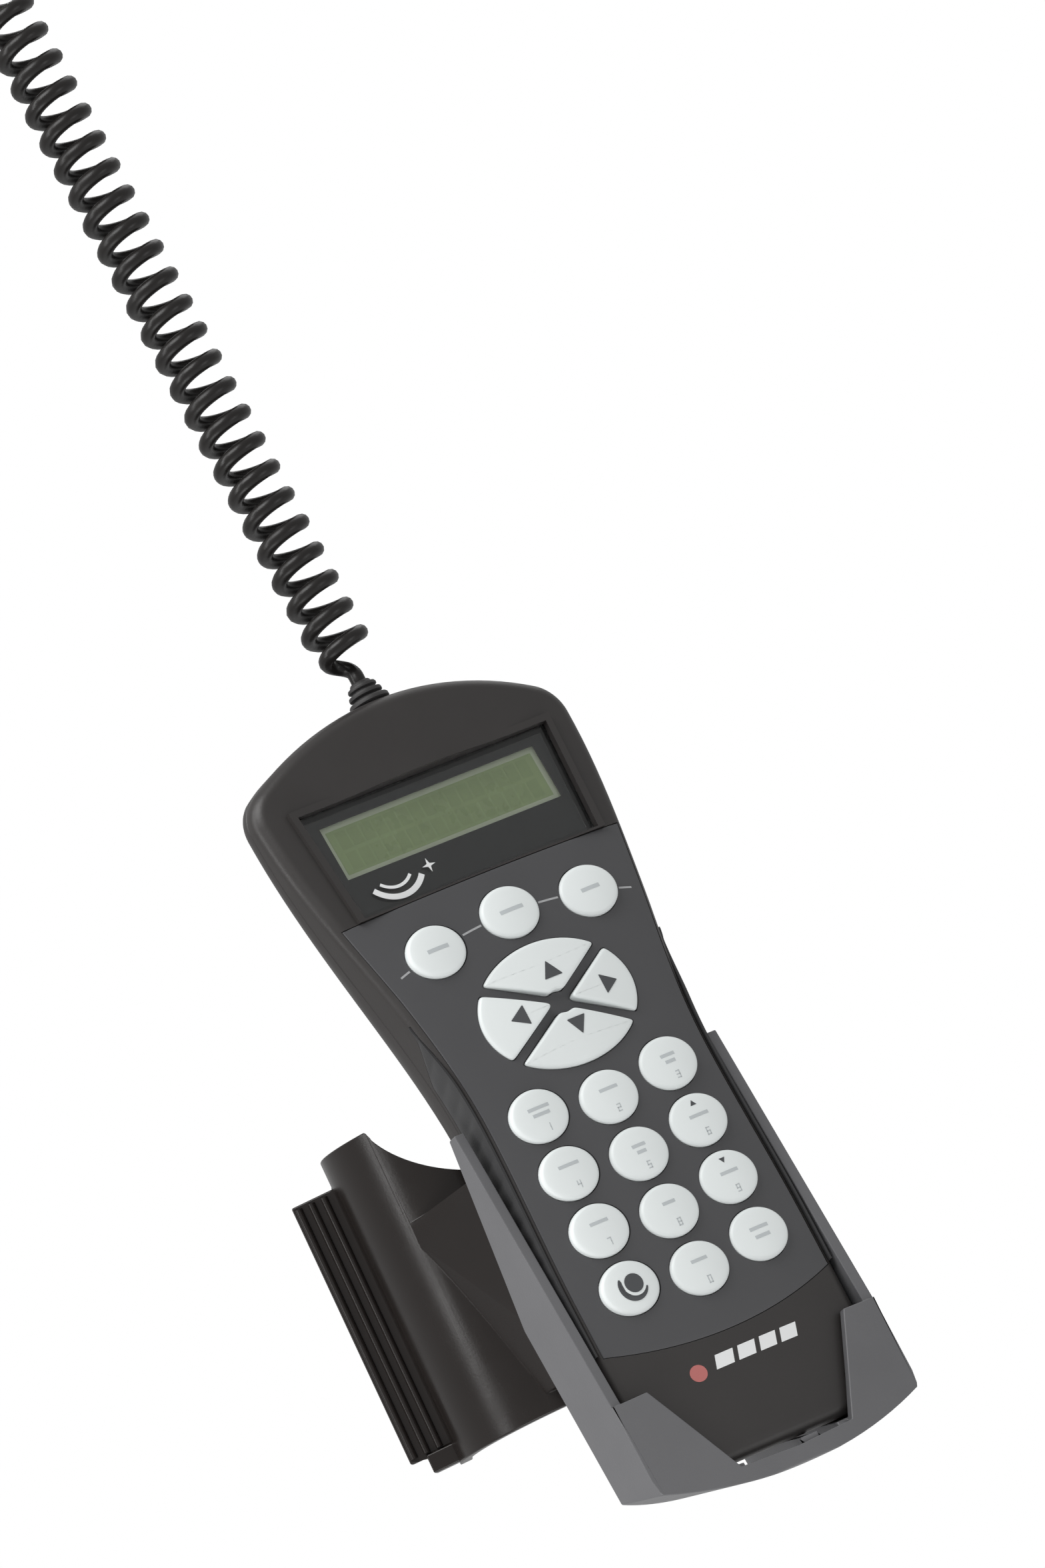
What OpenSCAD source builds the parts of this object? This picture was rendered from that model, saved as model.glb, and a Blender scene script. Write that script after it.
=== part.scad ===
// Hand controller for a telescope, with its leg clamp, cradle and curly cord.
// Origin: middle of the leg clamp's bore. +Z runs up the handset, its face looks toward -Y.

/* [Handset casing] */
// Widest half width of the domed head
head_half_w = 46; // [45:0.5:48]
// Half width at the waist
waist_half_w = 33.6; // [33:0.1:34.5]
// Half width of the foot
foot_half_w = 34.9; // [34.5:0.1:35.2]
// Height of the dome's top above the origin
top_z = 123.5; // [123:0.5:126]
// Height of the casing's bottom end
bottom_z = -83; // [-84:0.5:-82]
// Depth position of the face on the centre line
face_y = -86.5; // [-87:0.5:-86]
// Depth position of the parting line
seam_y = -73.7; // [-74:0.1:-73]
// Depth position of the back on the centre line, level with the origin
back_y = -55.5; // [-55.8:0.1:-55.2]
// Slope of the back towards the face at the foot, in degrees
back_tilt = 3; // [2.8:0.1:3.2]
// Slope of the bottom end, upward to the back, in degrees
end_tilt = 14; // [13:0.5:14.5]
// Wall thickness
wall = 2.2; // [2:0.1:2.4]
// Backward slope of the upper face, in degrees
face_tilt = 4.4; // [3:0.2:5]

/* [Keys] */
// Width of a round key
key_w = 15.7; // [14:0.1:16]
// Height of a round key
key_h = 13.4; // [12:0.1:13.8]
// How far a key stands out of the face
key_proud = 1.9; // [1.6:0.1:2.2]
// Travel of a key
key_travel = 1.2; // [0.8:0.1:1.2]
// Gap round a key in its hole
key_gap = 0.25; // [0.2:0.05:0.3]
// Column pitch of the number pad
pad_dx = 19; // [18.5:0.1:19.2]
// Row pitch of the number pad
pad_dz = 15.55; // [15.4:0.05:15.8]
// Height of the number pad's upper middle key
pad_top_z = 10.3; // [10:0.1:11]
// Height of the arrow keys' centre
arrows_z = 36; // [35:0.5:37]
// Width of the arrow key oval
arrows_w = 43.4; // [42:0.2:44]
// Height of the arrow key oval
arrows_h = 32; // [31:0.2:33]
// Gap between two arrow keys
arrows_gap = 2.5; // [2.2:0.1:2.8]

/* [Display] */
// Width of the visible display area
lcd_w = 63; // [60:0.5:64]
// Height of the visible display area
lcd_h = 14.5; // [13:0.5:16]
// Height of the display's centre above the origin
lcd_z = 92; // [91:0.5:93]
// Depth of the window pane below the face
pane_depth = 3.1; // [2.9:0.1:3.2]

/* [Leg clamp] */
// Radius of the tripod leg
leg_r = 25.4; // [25.4:0.1:26]
// Wall thickness of the clip
clip_wall = 3.2; // [3:0.1:3.6]
// Height of the clip
clip_h = 81; // [78:1:84]
// Lean of the leg against the handset, in degrees
leg_lean = 5.5; // [4.5:0.5:6]
// Width of the clip's rear mouth, as an angle
mouth_angle = 110; // [100:5:120]
// Length of the flared lips
lip_len = 11; // [9:0.5:12]

/* [Cradle] */
// Inner half width between the side wings
cradle_half_w = 35.8; // [35.6:0.1:36.2]
// Wall thickness of the cradle
cradle_wall = 2.8; // [2.6:0.1:3]
// Height of the wing tips above the origin
wing_tip_z = 17; // [14:1:20]

/* [Cord] */
// Diameter of the cord
cord_d = 3.8; // [3.6:0.1:3.9]
// Outer diameter of the curly stretch
coil_d = 15.8; // [15:0.2:16.4]
// Bottom of the curly stretch
coil_z0 = 138; // [138:1:140]
// Top of the curly stretch
coil_z1 = 314; // [300:1:316]

/* [Hidden] */
far = 200;
crown_r = 267;
back_crown_r = 64;
dome_r = 84.6;
dome_cz = top_z - dome_r;
head_corner_r = 10;
foot_corner_r = 8;
waist_z = 14;
foot_z = -34;
bend_z = 52;
flare_h = 92;
outline_step = 6;
corner_steps = 5;
dome_steps = 8;
face_cut = 4;
grip_proud = 0.3;
grip_sunk = 0.7;
grip_x0 = 20;
grip_x1 = 50;
panel_t = 0.8;
panel_rim = 1.6;
panel_top_z = 72.8;
panel_arc_r = 104.6;
panel_arc_z = -52.5;
window_z0 = 73.5;
window_z1 = 103;
window_half0 = 34.3;
window_half1 = 36.5;
lcd_dz = lcd_z - bend_z;
pane_t = 1.2;
pane_fit = 0.1;
pane_rim = 1.6;
gasket_t = 0.3;
mask_t = 0.4;
collar_t = 1.8;
stack_y = pane_depth + pane_t + gasket_t + mask_t;
glass_w = 72.6;
glass_h = 24;
frame_w = 74;
frame_h = 27;
frame_wall = 0.5;
frame_edge = 0.75;
fit_gap = 0.3;
board_y = -76.9;
board_t = 1.6;
web_y = -78.9;
web_t = 0.7;
stem_end_y = web_y - key_travel - fit_gap;
flange_t = 0.9;
flange_edge = 0.8;
flange_gap = 0.25;
key_dome_r = 30;
arrows_dome_r = 90;
arrows_proud = 2.4;
arrows_angle = 29.4;
arrows_hub_r = 3.1;
arrow_reach_x = 14;
arrow_reach_z = 9.5;
arrow_stem_w = 7;
arrow_stem_h = 6;
stem_inset = 6;
web_post_r = 2.4;
web_post_h = 0.5;
switch_r = 3.8;
switch_h = 0.5;
lit_w = 1.6;
lit_t = 0.7;
lit_h = 0.8;
cord_y = -73.7;
cord_hole_r = 4.1;
cord_hole_z0 = 110;
cord_hole_h = 20;
relief_top_z = 130;
tail_top_z = 328;
plug_w = 9.65;
plug_t = 6.6;
plug_l = 17;
contact_pitch = 1.02;
jack_y0 = -75.3;
jack_z0 = -77.2;
jack_w = 12;
jack_h = 11.8;
jack_l = 13.6;
jack_mouth_w = 7.8;
jack_mouth_h = 7;
jack_mouth_l = 9.6;
jack_hole_h = 10;
board_screw_low = [26, -60];
board_screw_high = [31, 68.5];
case_screw_low = [27, -69];
case_screw_high = [25, 113];
low_seat_y = -69;
high_seat_y = -66;
case_screw_tip_y = -77.6;
back_limit_y = -44;
screw_r = 1.3;
screw_hole_r = 1.6;
pilot_r = 1.35;
pilot_l = 4.4;
case_post_r = 3.2;
well_post_r = 4.3;
well_r = 3;
board_post_r = 2.4;
board_pilot_r = 1.05;
board_pilot_l = 4.5;
cradle_clear = 0.4;
cradle_floor_z = -83.4;
tray_corner_r = 10.5;
tray_top_z = 60;
cradle_arc_r = 123;
cradle_low_z = -89;
ear_t = 2.4;
ear_clear = 0.5;
rail_neck_w = 10;
rail_head_w = 18;
rail_y0 = -60;
rail_neck_y = -45.8;
rail_head_y = -42.8;
rail_z0 = -35.2;
rail_z1 = 30;
block_y = -48.9;
block_half_w = 14;
block_z0 = -38;
block_z1 = 24;
neck_z1 = 13;
scoop_r = 25.5;
scoop_rise = 4;
lip_t = 3;
lip_rib_r = 0.9;
lip_rib_step = 3.4;

// Route of the cord inside the handset, from the strain relief to its header
inner_route = [
    [0, cord_y, 117], [0, -70.6, 113], [0, -68.6, 109], [1, -68, 104], [3, -68, 97],
    [6, -68, 90], [9, -68.4, 83], [10.5, -69.2, 77], [11, -71, 71], [11, -72.6, 66]
];

// Straight stretches of the cord below and above the curly one
lead_route = [[0, cord_y, relief_top_z], [0, cord_y, (relief_top_z + coil_z0) / 2], [0, cord_y, coil_z0]];
tail_route = [[0, cord_y, coil_z1], [0, cord_y, (coil_z1 + tail_top_z) / 2], [0, cord_y, tail_top_z]];

pad_keys = [
    ["key_1", "key_2", "key_3"],
    ["key_4", "key_5", "key_6"],
    ["key_7", "key_8", "key_9"],
    ["key_option", "key_0", "key_speed"]
];
pad_side_step = 2.2;
// Each round key: name, x, z
round_keys = concat(
    [["key_align", -22.4, 59], ["key_enter", 0, 61.1], ["key_back", 22.4, 59]],
    [for (row = [0:3]) for (col = [0:2])
        let(rise = col == 1 ? 0 : pad_side_step)
        [pad_keys[row][col], (col - 1) * pad_dx, pad_top_z - row * pad_dz + rise]]
);
// Each arrow key: name, direction of its middle in degrees, half of its opening angle
arrow_keys = [
    ["key_right", 0, arrows_angle],
    ["key_up", 90, 90 - arrows_angle],
    ["key_left", 180, arrows_angle],
    ["key_down", 270, 90 - arrows_angle]
];

function ease(t) = let(c = min(1, max(0, t))) c * c * (3 - 2 * c);
function blend(a, b, t) = a + (b - a) * t;

// Half width of the casing at a height
function half_w(z) = z >= waist_z
    ? blend(waist_half_w, head_half_w, ease((z - waist_z) / flare_h))
    : blend(waist_half_w, foot_half_w, ease((waist_z - z) / (waist_z - foot_z)));

// Points of an arc about c, from angle a0 to a1 in n steps
function arc(c, r, a0, a1, n) = [
    for (i = [0:n])
        let(a = blend(a0, a1, i / n))
        [c.x + r * cos(a), c.y + r * sin(a)]
];

head_corner_x = head_half_w - head_corner_r;
head_corner_z = dome_cz + sqrt(pow(dome_r - head_corner_r, 2) - head_corner_x * head_corner_x);
head_corner = [head_corner_x, head_corner_z];
head_corner_end = atan2(head_corner_z - dome_cz, head_corner_x);
foot_corner = [foot_half_w - foot_corner_r, bottom_z + foot_corner_r];

// Right half of the casing's outline, inset by d, from the bottom to the top
function right_side(d) = concat(
    arc(foot_corner, foot_corner_r - d, -90, 0, corner_steps),
    [for (z = [foot_corner.y + outline_step : outline_step : head_corner.y - outline_step]) [half_w(z) - d, z]],
    arc(head_corner, head_corner_r - d, 0, head_corner_end, corner_steps),
    [for (i = [1 : dome_steps - 1])
        let(a = blend(head_corner_end, 90, i / dome_steps))
        [(dome_r - d) * cos(a), dome_cz + (dome_r - d) * sin(a)]]
);
function reverse(list) = [for (i = [len(list) - 1 : -1 : 0]) list[i]];
function mirrored(list) = concat(list, reverse([for (p = list) [-p.x, p.y]]));
function outline(d) = mirrored(right_side(d));

// Outline of the cradle's tray, straight sided, inset by d from its outer wall
function tray_outline(d) =
    let(w = cradle_half_w + cradle_wall, r = tray_corner_r, foot = cradle_floor_z - 6)
    mirrored(concat(arc([w - r, foot + r], r - d, -90, 0, corner_steps), [[w - d, tray_top_z]]));

// Height of the crown's edge below its centre line
function sag(x) = crown_r - sqrt(crown_r * crown_r - x * x);
function face_at(x, z) = face_y + sag(x) + max(0, z - bend_z) * tan(face_tilt);

// Points of an oval
function oval(w, h) = [for (i = [0:35]) [w / 2 * cos(i * 10), h / 2 * sin(i * 10)]];

// A flat outline in X and Z, made solid between two depths
module slab(y0, y1) {
    translate([0, y1, 0]) rotate([90, 0, 0]) linear_extrude(y1 - y0) children();
}

// A flat outline in Y and Z, made solid between two X positions
module cross_slab(x0, x1) {
    translate([x0, 0, 0]) rotate([90, 0, 90]) linear_extrude(x1 - x0) children();
}

module casing_prism(d, y0, y1) {
    slab(y0, y1) polygon(outline(d));
}

// Moves into the plane of the sloping upper face: local Y is the depth below it
module upper_face() {
    translate([0, face_y, bend_z]) rotate([-face_tilt, 0, 0]) children();
}

// Everything behind the crowned and bent face, inset by d
module behind_face(d) {
    intersection() {
        translate([0, face_y + crown_r, -far]) cylinder(r = crown_r - d, h = 2 * far, $fn = 256);
        upper_face() translate([0, crown_r, -far]) cylinder(r = crown_r - d, h = 2 * far, $fn = 256);
    }
}

// Everything in front of the rounded back, inset by d
module before_back(d) {
    translate([0, back_y, 0]) rotate([-back_tilt, 0, 0]) translate([0, -back_crown_r, -far])
        cylinder(r = back_crown_r - d, h = 2 * far, $fn = 256);
}

// Moves into the plane of the sloping bottom end: local Z is the height above it
module bottom_end() {
    translate([0, face_y, bottom_z]) rotate([end_tilt, 0, 0]) children();
}

// Everything above the bottom end, inset by d
module above_end(d) {
    bottom_end() translate([-far, -far, d]) cube(2 * far);
}

module round_key_oval(x, z, grow, y0, y1) {
    translate([x, face_at(x, z), z]) rotate([z > bend_z ? -face_tilt : 0, 0, 0])
        slab(y0, y1) polygon(oval(key_w + grow, key_h + grow));
}

// One quarter of the arrow oval, with its gaps narrowed and its edge grown by grow
module arrow_sector(k, grow, y0, y1) {
    gap = arrows_gap - 2 * grow;
    apex = gap / 2 / sin(k[2]);
    reach = 40;
    side_x = reach * cos(k[2]);
    side_z = reach * sin(k[2]);
    translate([0, face_y, arrows_z]) difference() {
        intersection() {
            slab(y0, y1) polygon(oval(arrows_w + 2 * grow, arrows_h + 2 * grow));
            slab(y0 - 1, y1 + 1) rotate(k[1]) translate([apex, 0])
                polygon([[0, 0], [side_x, -side_z], [reach, 0], [side_x, side_z]]);
        }
        slab(y0 - 2, y1 + 2) circle(r = arrows_hub_r - grow, $fn = 48);
    }
}

module key_holes() {
    for (k = round_keys) round_key_oval(k[1], k[2], 2 * key_gap, -face_cut, face_cut + 1);
    for (k = arrow_keys) arrow_sector(k, key_gap, -face_cut, face_cut + 1);
}

// A round post or hole on each side, between two depths
module screw_posts(p, r, y0, y1) {
    for (s = [-1, 1]) translate([s * p.x, y1, p.y]) rotate([90, 0, 0])
        cylinder(r = r, h = y1 - y0, $fn = 48);
}

module cord_hole() {
    translate([0, cord_y, cord_hole_z0]) cylinder(r = cord_hole_r, h = cord_hole_h, $fn = 64);
}

module jack_hole() {
    translate([-jack_w / 2 - fit_gap, jack_y0 - fit_gap, bottom_z - 1])
        cube([jack_w + 2 * fit_gap, jack_h + 2 * fit_gap, jack_hole_h]);
}

module grip_profile() {
    polygon([[-84.2, -46], [-84.2, 28], [-82.2, 45], [-75, 34], [-74.7, -46]]);
}

module grip(side) {
    intersection() {
        difference() {
            casing_prism(-grip_proud, face_y, seam_y);
            casing_prism(grip_sunk, face_y - 1, seam_y + 1);
        }
        cross_slab(side > 0 ? grip_x0 : -grip_x1, side > 0 ? grip_x1 : -grip_x0) grip_profile();
    }
}

module window_outline(edge) {
    low = window_z0 - bend_z - edge;
    high = window_z1 - bend_z + edge;
    polygon(mirrored([[window_half0 + edge, low], [window_half1 + edge, high]]));
}

// The keypad panel's border: its top edge, the casing's sides and its curved lower edge
module panel_prism(inset) {
    intersection() {
        casing_prism(panel_rim + inset, face_y - face_cut, face_y + 9);
        translate([-far, -far, panel_top_z - inset - far]) cube([2 * far, 2 * far, far]);
        union() {
            translate([-far, -far, -20]) cube([2 * far, 2 * far, far]);
            translate([0, face_y + 10, panel_arc_z + panel_arc_r]) rotate([90, 0, 0])
                cylinder(r = panel_arc_r - inset, h = 20, $fn = 256);
        }
    }
}

module front_shell() color("#2c2a29") {
    difference() {
        union() {
            difference() {
                intersection() {
                    casing_prism(0, face_y - face_cut, seam_y);
                    behind_face(0);
                    above_end(0);
                }
                intersection() {
                    casing_prism(wall, face_y - face_cut, seam_y + 1);
                    behind_face(wall);
                    above_end(wall);
                }
            }
            intersection() {
                union() {
                    screw_posts(board_screw_low, board_post_r, face_y, board_y);
                    screw_posts(board_screw_high, board_post_r, face_y, board_y);
                    screw_posts(case_screw_low, case_post_r, face_y, seam_y);
                    screw_posts(case_screw_high, case_post_r, face_y, seam_y);
                }
                behind_face(wall / 2);
                casing_prism(wall / 2, face_y - face_cut, seam_y);
            }
            intersection() {
                upper_face() slab(0, stack_y) window_outline(collar_t);
                behind_face(wall / 2);
            }
        }
        difference() {
            panel_prism(0);
            behind_face(panel_t);
        }
        for (side = [-1, 1]) grip(side);
        upper_face() slab(-face_cut, stack_y + 1) window_outline(0);
        key_holes();
        screw_posts(board_screw_low, board_pilot_r, board_y - board_pilot_l, board_y + 1);
        screw_posts(board_screw_high, board_pilot_r, board_y - board_pilot_l, board_y + 1);
        screw_posts(case_screw_low, pilot_r, seam_y - pilot_l, seam_y + 1);
        screw_posts(case_screw_high, pilot_r, seam_y - pilot_l, seam_y + 1);
        cord_hole();
        jack_hole();
    }
}

module rear_shell() color("#262423") {
    difference() {
        union() {
            difference() {
                intersection() {
                    casing_prism(0, seam_y, back_limit_y);
                    before_back(0);
                    above_end(0);
                }
                intersection() {
                    casing_prism(wall, seam_y - 1, back_limit_y);
                    before_back(wall);
                    above_end(wall);
                }
            }
            intersection() {
                union() {
                    screw_posts(case_screw_low, well_post_r, seam_y, back_limit_y);
                    screw_posts(case_screw_high, well_post_r, seam_y, back_limit_y);
                }
                before_back(wall / 2);
                casing_prism(wall / 2, seam_y, back_limit_y);
            }
        }
        screw_posts(case_screw_low, screw_hole_r, seam_y - 1, back_limit_y);
        screw_posts(case_screw_high, screw_hole_r, seam_y - 1, back_limit_y);
        screw_posts(case_screw_low, well_r, low_seat_y, back_limit_y);
        screw_posts(case_screw_high, well_r, high_seat_y, back_limit_y);
        cord_hole();
        jack_hole();
    }
}

module left_grip() color("#1d1c1c") grip(-1);

module right_grip() color("#1d1c1c") grip(1);

module keypad_panel() color("#464648") {
    difference() {
        intersection() {
            panel_prism(0.1);
            behind_face(0);
        }
        behind_face(panel_t);
        key_holes();
    }
}

// Round key: domed oval cap, a flange that keeps it in, and a stem that presses the web
module round_key(k) color("#dfe3e2") {
    x = k[1];
    z = k[2];
    front = face_at(x, z);
    flange_y = wall + flange_gap + sag(abs(x) + key_w / 2 + flange_edge) - sag(x);
    stem_y = stem_end_y - front;
    translate([x, front, z]) rotate([z > bend_z ? -face_tilt : 0, 0, 0]) union() {
        intersection() {
            slab(-key_proud - 1, flange_y + 0.1) polygon(oval(key_w, key_h));
            translate([0, key_dome_r - key_proud, 0]) sphere(r = key_dome_r, $fn = 128);
        }
        slab(flange_y, flange_y + flange_t) polygon(oval(key_w + 2 * flange_edge, key_h + 2 * flange_edge));
        slab(flange_y, stem_y) polygon(oval(key_w - stem_inset, key_h - stem_inset));
    }
}

module arrow_key(k) color("#dfe3e2") {
    flange_y = wall + flange_gap + sag(arrows_w / 2 + flange_edge);
    stem_y = stem_end_y - face_y;
    union() {
        intersection() {
            arrow_sector(k, 0, -arrows_proud - 1, flange_y + 0.1);
            translate([0, face_y + arrows_dome_r - arrows_proud, arrows_z])
                sphere(r = arrows_dome_r, $fn = 128);
        }
        arrow_sector(k, flange_edge, flange_y, flange_y + flange_t);
        translate([arrow_reach_x * cos(k[1]), face_y, arrows_z + arrow_reach_z * sin(k[1])])
            slab(flange_y, stem_y) polygon(oval(arrow_stem_w, arrow_stem_h));
    }
}

module display_window() color([0.08, 0.09, 0.09, 0.6]) {
    upper_face() slab(pane_depth, pane_depth + pane_t) window_outline(-pane_fit);
}

module window_gasket() color("#111111") {
    y = pane_depth + pane_t;
    upper_face() difference() {
        slab(y, y + gasket_t) window_outline(-pane_fit);
        slab(y - 1, y + 1) window_outline(-pane_rim);
    }
}

module display_mask() color("#0d0d0d") {
    upper_face() difference() {
        slab(stack_y - mask_t, stack_y) window_outline(-pane_fit);
        display_box(lcd_w, lcd_h, stack_y - 1, stack_y + 1);
    }
}

// A box centred on the display, given its width, height and its depths behind the mask
module display_box(w, h, y0, y1) {
    translate([-w / 2, y0, lcd_dz - h / 2]) cube([w, y1 - y0, h]);
}

module display_frame() color("#8f9396") {
    upper_face() difference() {
        display_box(frame_w, frame_h, stack_y + 0.05, stack_y + 4.3);
        display_box(lcd_w + 2 * frame_edge, lcd_h + 2 * frame_edge, stack_y - 1, stack_y + 2);
        display_box(frame_w - 2 * frame_wall, frame_h - 2 * frame_wall, stack_y + 0.45, stack_y + 5);
    }
}

module display_glass() color("#8fa06b") {
    upper_face() display_box(glass_w, glass_h, stack_y + 0.5, stack_y + 1.7);
}

module display_backlight() color("#c9cdb8") {
    upper_face() display_box(glass_w, glass_h, stack_y + 1.8, stack_y + 4.2);
}

module display_board() color("#1f5a3a") {
    upper_face() display_box(76, 34, stack_y + 4.4, stack_y + 6);
}

module display_ribbon() color("#b9b2a2") {
    cross_slab(-28, -6) polygon([[-75.25, 62], [-75.25, 70], [-72.9, 76.5], [-72.4, 85],
                                 [-71.9, 85], [-72.4, 76.4], [-74.75, 69.9], [-74.75, 62]]);
}

module board_outline() {
    polygon(mirrored([[21, -76.5], [21, -66], [29.5, -63.5], [29.5, 40], [34.3, 56], [34.3, 71]]));
}

module main_board() color("#1e6a45") {
    difference() {
        slab(board_y, board_y + board_t) board_outline();
        screw_posts(board_screw_low, screw_r, board_y - 1, board_y + board_t + 1);
        screw_posts(board_screw_high, screw_r, board_y - 1, board_y + board_t + 1);
    }
}

// Places its children under every key
module under_keys() {
    for (k = round_keys) translate([k[1], 0, k[2]]) children();
    for (k = arrow_keys)
        translate([arrow_reach_x * cos(k[1]), 0, arrows_z + arrow_reach_z * sin(k[1])]) children();
}

module keypad_web() color("#c4c8c8") {
    web_edge = [[28, -54], [28, 44], [31, 56], [31, 63.4], [26, 67.6]];
    web_inner_edge = [[26.8, -52.8], [26.8, 44.3], [29.8, 56.3], [29.8, 62.8], [25.5, 66.4]];
    rear_y = web_y + web_t;
    union() {
        slab(web_y, rear_y) polygon(mirrored(web_edge));
        under_keys() slab(rear_y, rear_y + web_post_h) circle(r = web_post_r, $fn = 32);
        difference() {
            slab(web_y, board_y) polygon(mirrored(web_edge));
            slab(web_y - 1, board_y + 1) polygon(mirrored(web_inner_edge));
        }
    }
}

module switch_domes() color("#c9ccce") {
    under_keys() slab(board_y - switch_h, board_y) circle(r = switch_r, $fn = 32);
}

module key_lights() color("#b3312b") {
    pad_lights = [for (row = [0:2]) [pad_dx / 2, pad_top_z - (row + 0.5) * pad_dz + 1]];
    for (p = concat(pad_lights, [[11.5, 53]])) for (s = [-1, 1])
        translate([s * p.x - lit_w / 2, board_y - lit_t, p.y]) cube([lit_w, lit_t, lit_h]);
}

module processor_chip() color("#161616") {
    y = board_y + board_t;
    translate([-7, y, -17]) cube([14, 1.5, 14]);
    for (s = [-1, 1]) for (i = [0:9]) translate([s * 8 - 1, y, -16.3 + i * 1.35]) cube([2, 0.4, 0.6]);
}

module memory_chip() color("#1a1a1a") {
    y = board_y + board_t;
    translate([-4, y, 12]) cube([8, 1.4, 6]);
    for (s = [-1, 1]) for (i = [0:3]) translate([s * 4.5 - 0.7, y, 12.6 + i * 1.4]) cube([1.4, 0.4, 0.6]);
}

module cord_header() color("#e3dfd2") {
    translate([4, board_y + board_t, 59]) difference() {
        cube([14, 5.3, 6.9]);
        translate([1, 3.9, -1]) cube([12, 3, 3]);
    }
}

// A tube swept along route points, with flat closed ends square to the axis given for them
module swept_tube(route, d, sides = 8) {
    n = len(route);
    function unit(v) = v / norm(v);
    function dir(i) = unit(route[min(i + 1, n - 1)] - route[max(i - 1, 0)]);
    function axis(i) = i == 0 || i == n - 1 ? [0, 0, sign(dir(i).z)] : dir(i);
    rings = [for (i = [0:n - 1])
        let(t = axis(i), u = unit(cross(t, [0, 1, 0])), v = cross(t, u))
        for (j = [0:sides - 1]) route[i] + d / 2 * (u * cos(360 * j / sides) + v * sin(360 * j / sides))];
    walls = [for (i = [0:n - 2]) for (j = [0:sides - 1])
        let(a = i * sides + j, b = i * sides + (j + 1) % sides) [a, b, b + sides, a + sides]];
    polyhedron(points = rings, faces = concat(
        [[for (j = [sides - 1:-1:0]) j]],
        walls,
        [[for (j = [0:sides - 1]) (n - 1) * sides + j]]
    ));
}

module inner_lead() color("#191817") swept_tube(inner_route, cord_d);

module data_port() color("#141414") {
    translate([0, jack_y0, jack_z0]) difference() {
        translate([-jack_w / 2, 0, 0]) cube([jack_w, jack_h, jack_l]);
        translate([-jack_mouth_w / 2, 2, -1]) cube([jack_mouth_w, jack_mouth_h, jack_mouth_l + 1]);
    }
}

// Cross slot screw pointing toward -Y, its head behind the origin
module machine_screw(head_r, head_t, shank_r, shank_l) {
    slot_w = 0.7;
    slot_l = 0.9;
    rotate([90, 0, 0]) difference() {
        union() {
            translate([0, 0, -head_t]) cylinder(r = head_r, h = head_t, $fn = 48);
            cylinder(r = shank_r, h = shank_l, $fn = 32);
        }
        for (a = [0, 90]) rotate(a) translate([-head_r * 0.6, -slot_w / 2, -head_t - 1])
            cube([head_r * 1.2, slot_w, slot_l + 1]);
    }
}

module case_screws() color("#8a8c8e") {
    for (s = [-1, 1]) {
        translate([s * case_screw_low.x, low_seat_y, case_screw_low.y])
            machine_screw(2.7, 2, screw_r, low_seat_y - case_screw_tip_y);
        translate([s * case_screw_high.x, high_seat_y, case_screw_high.y])
            machine_screw(2.7, 2, screw_r, high_seat_y - case_screw_tip_y);
    }
}

module board_screws() color("#a4a6a8") {
    for (p = [board_screw_low, board_screw_high]) for (s = [-1, 1])
        translate([s * p.x, board_y + board_t, p.y]) machine_screw(2.1, 1.4, 1, 5.6);
}

module strain_relief() color("#1b1a1a") {
    boot = [[0, 117], [4.9, 117], [4.9, 120.6], [4, 120.6], [4, 124], [5.2, 124], [5, 125.4], [3.7, 126],
            [4.4, 126.6], [4.2, 127.6], [3, 128.2], [3.6, 128.8], [3.3, 129.6], [2.4, relief_top_z],
            [0, relief_top_z]];
    translate([0, cord_y, 0]) rotate_extrude($fn = 64) polygon(boot);
}

module cord_lead() color("#191817") swept_tube(lead_route, cord_d);

module cord_coil() color("#191817") {
    translate([0, cord_y, coil_z0]) cylinder(r = coil_d / 2, h = coil_z1 - coil_z0, $fn = 64);
}

module cord_tail() color("#191817") swept_tube(tail_route, cord_d);

// Six way modular plug with its spring latch
module cord_plug() color([0.75, 0.77, 0.76, 0.8]) {
    latch_w = 3.2;
    rear = plug_t / 2;
    slot_w = 0.56;
    latch = [[rear - 0.2, 0], [rear + 1.1, -1], [rear + 4, -14], [rear + 3, -14], [rear - 0.2, -3]];
    translate([0, cord_y, tail_top_z]) difference() {
        union() {
            translate([-plug_w / 2, -rear, 0]) cube([plug_w, plug_t, plug_l]);
            translate([-latch_w / 2, 0, plug_l]) cross_slab(0, latch_w) polygon(latch);
        }
        for (i = [0:5]) translate([(i - 2.5) * contact_pitch - slot_w / 2, -rear - 1, plug_l - 7])
            cube([slot_w, 1.8, 8]);
    }
}

module plug_contacts() color("#c9a24a") {
    contact_w = 0.44;
    y = cord_y - plug_t / 2 + 0.25;
    z = tail_top_z + plug_l - 6.8;
    for (i = [0:5]) translate([(i - 2.5) * contact_pitch - contact_w / 2, y, z]) cube([contact_w, 0.5, 6.4]);
}

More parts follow.
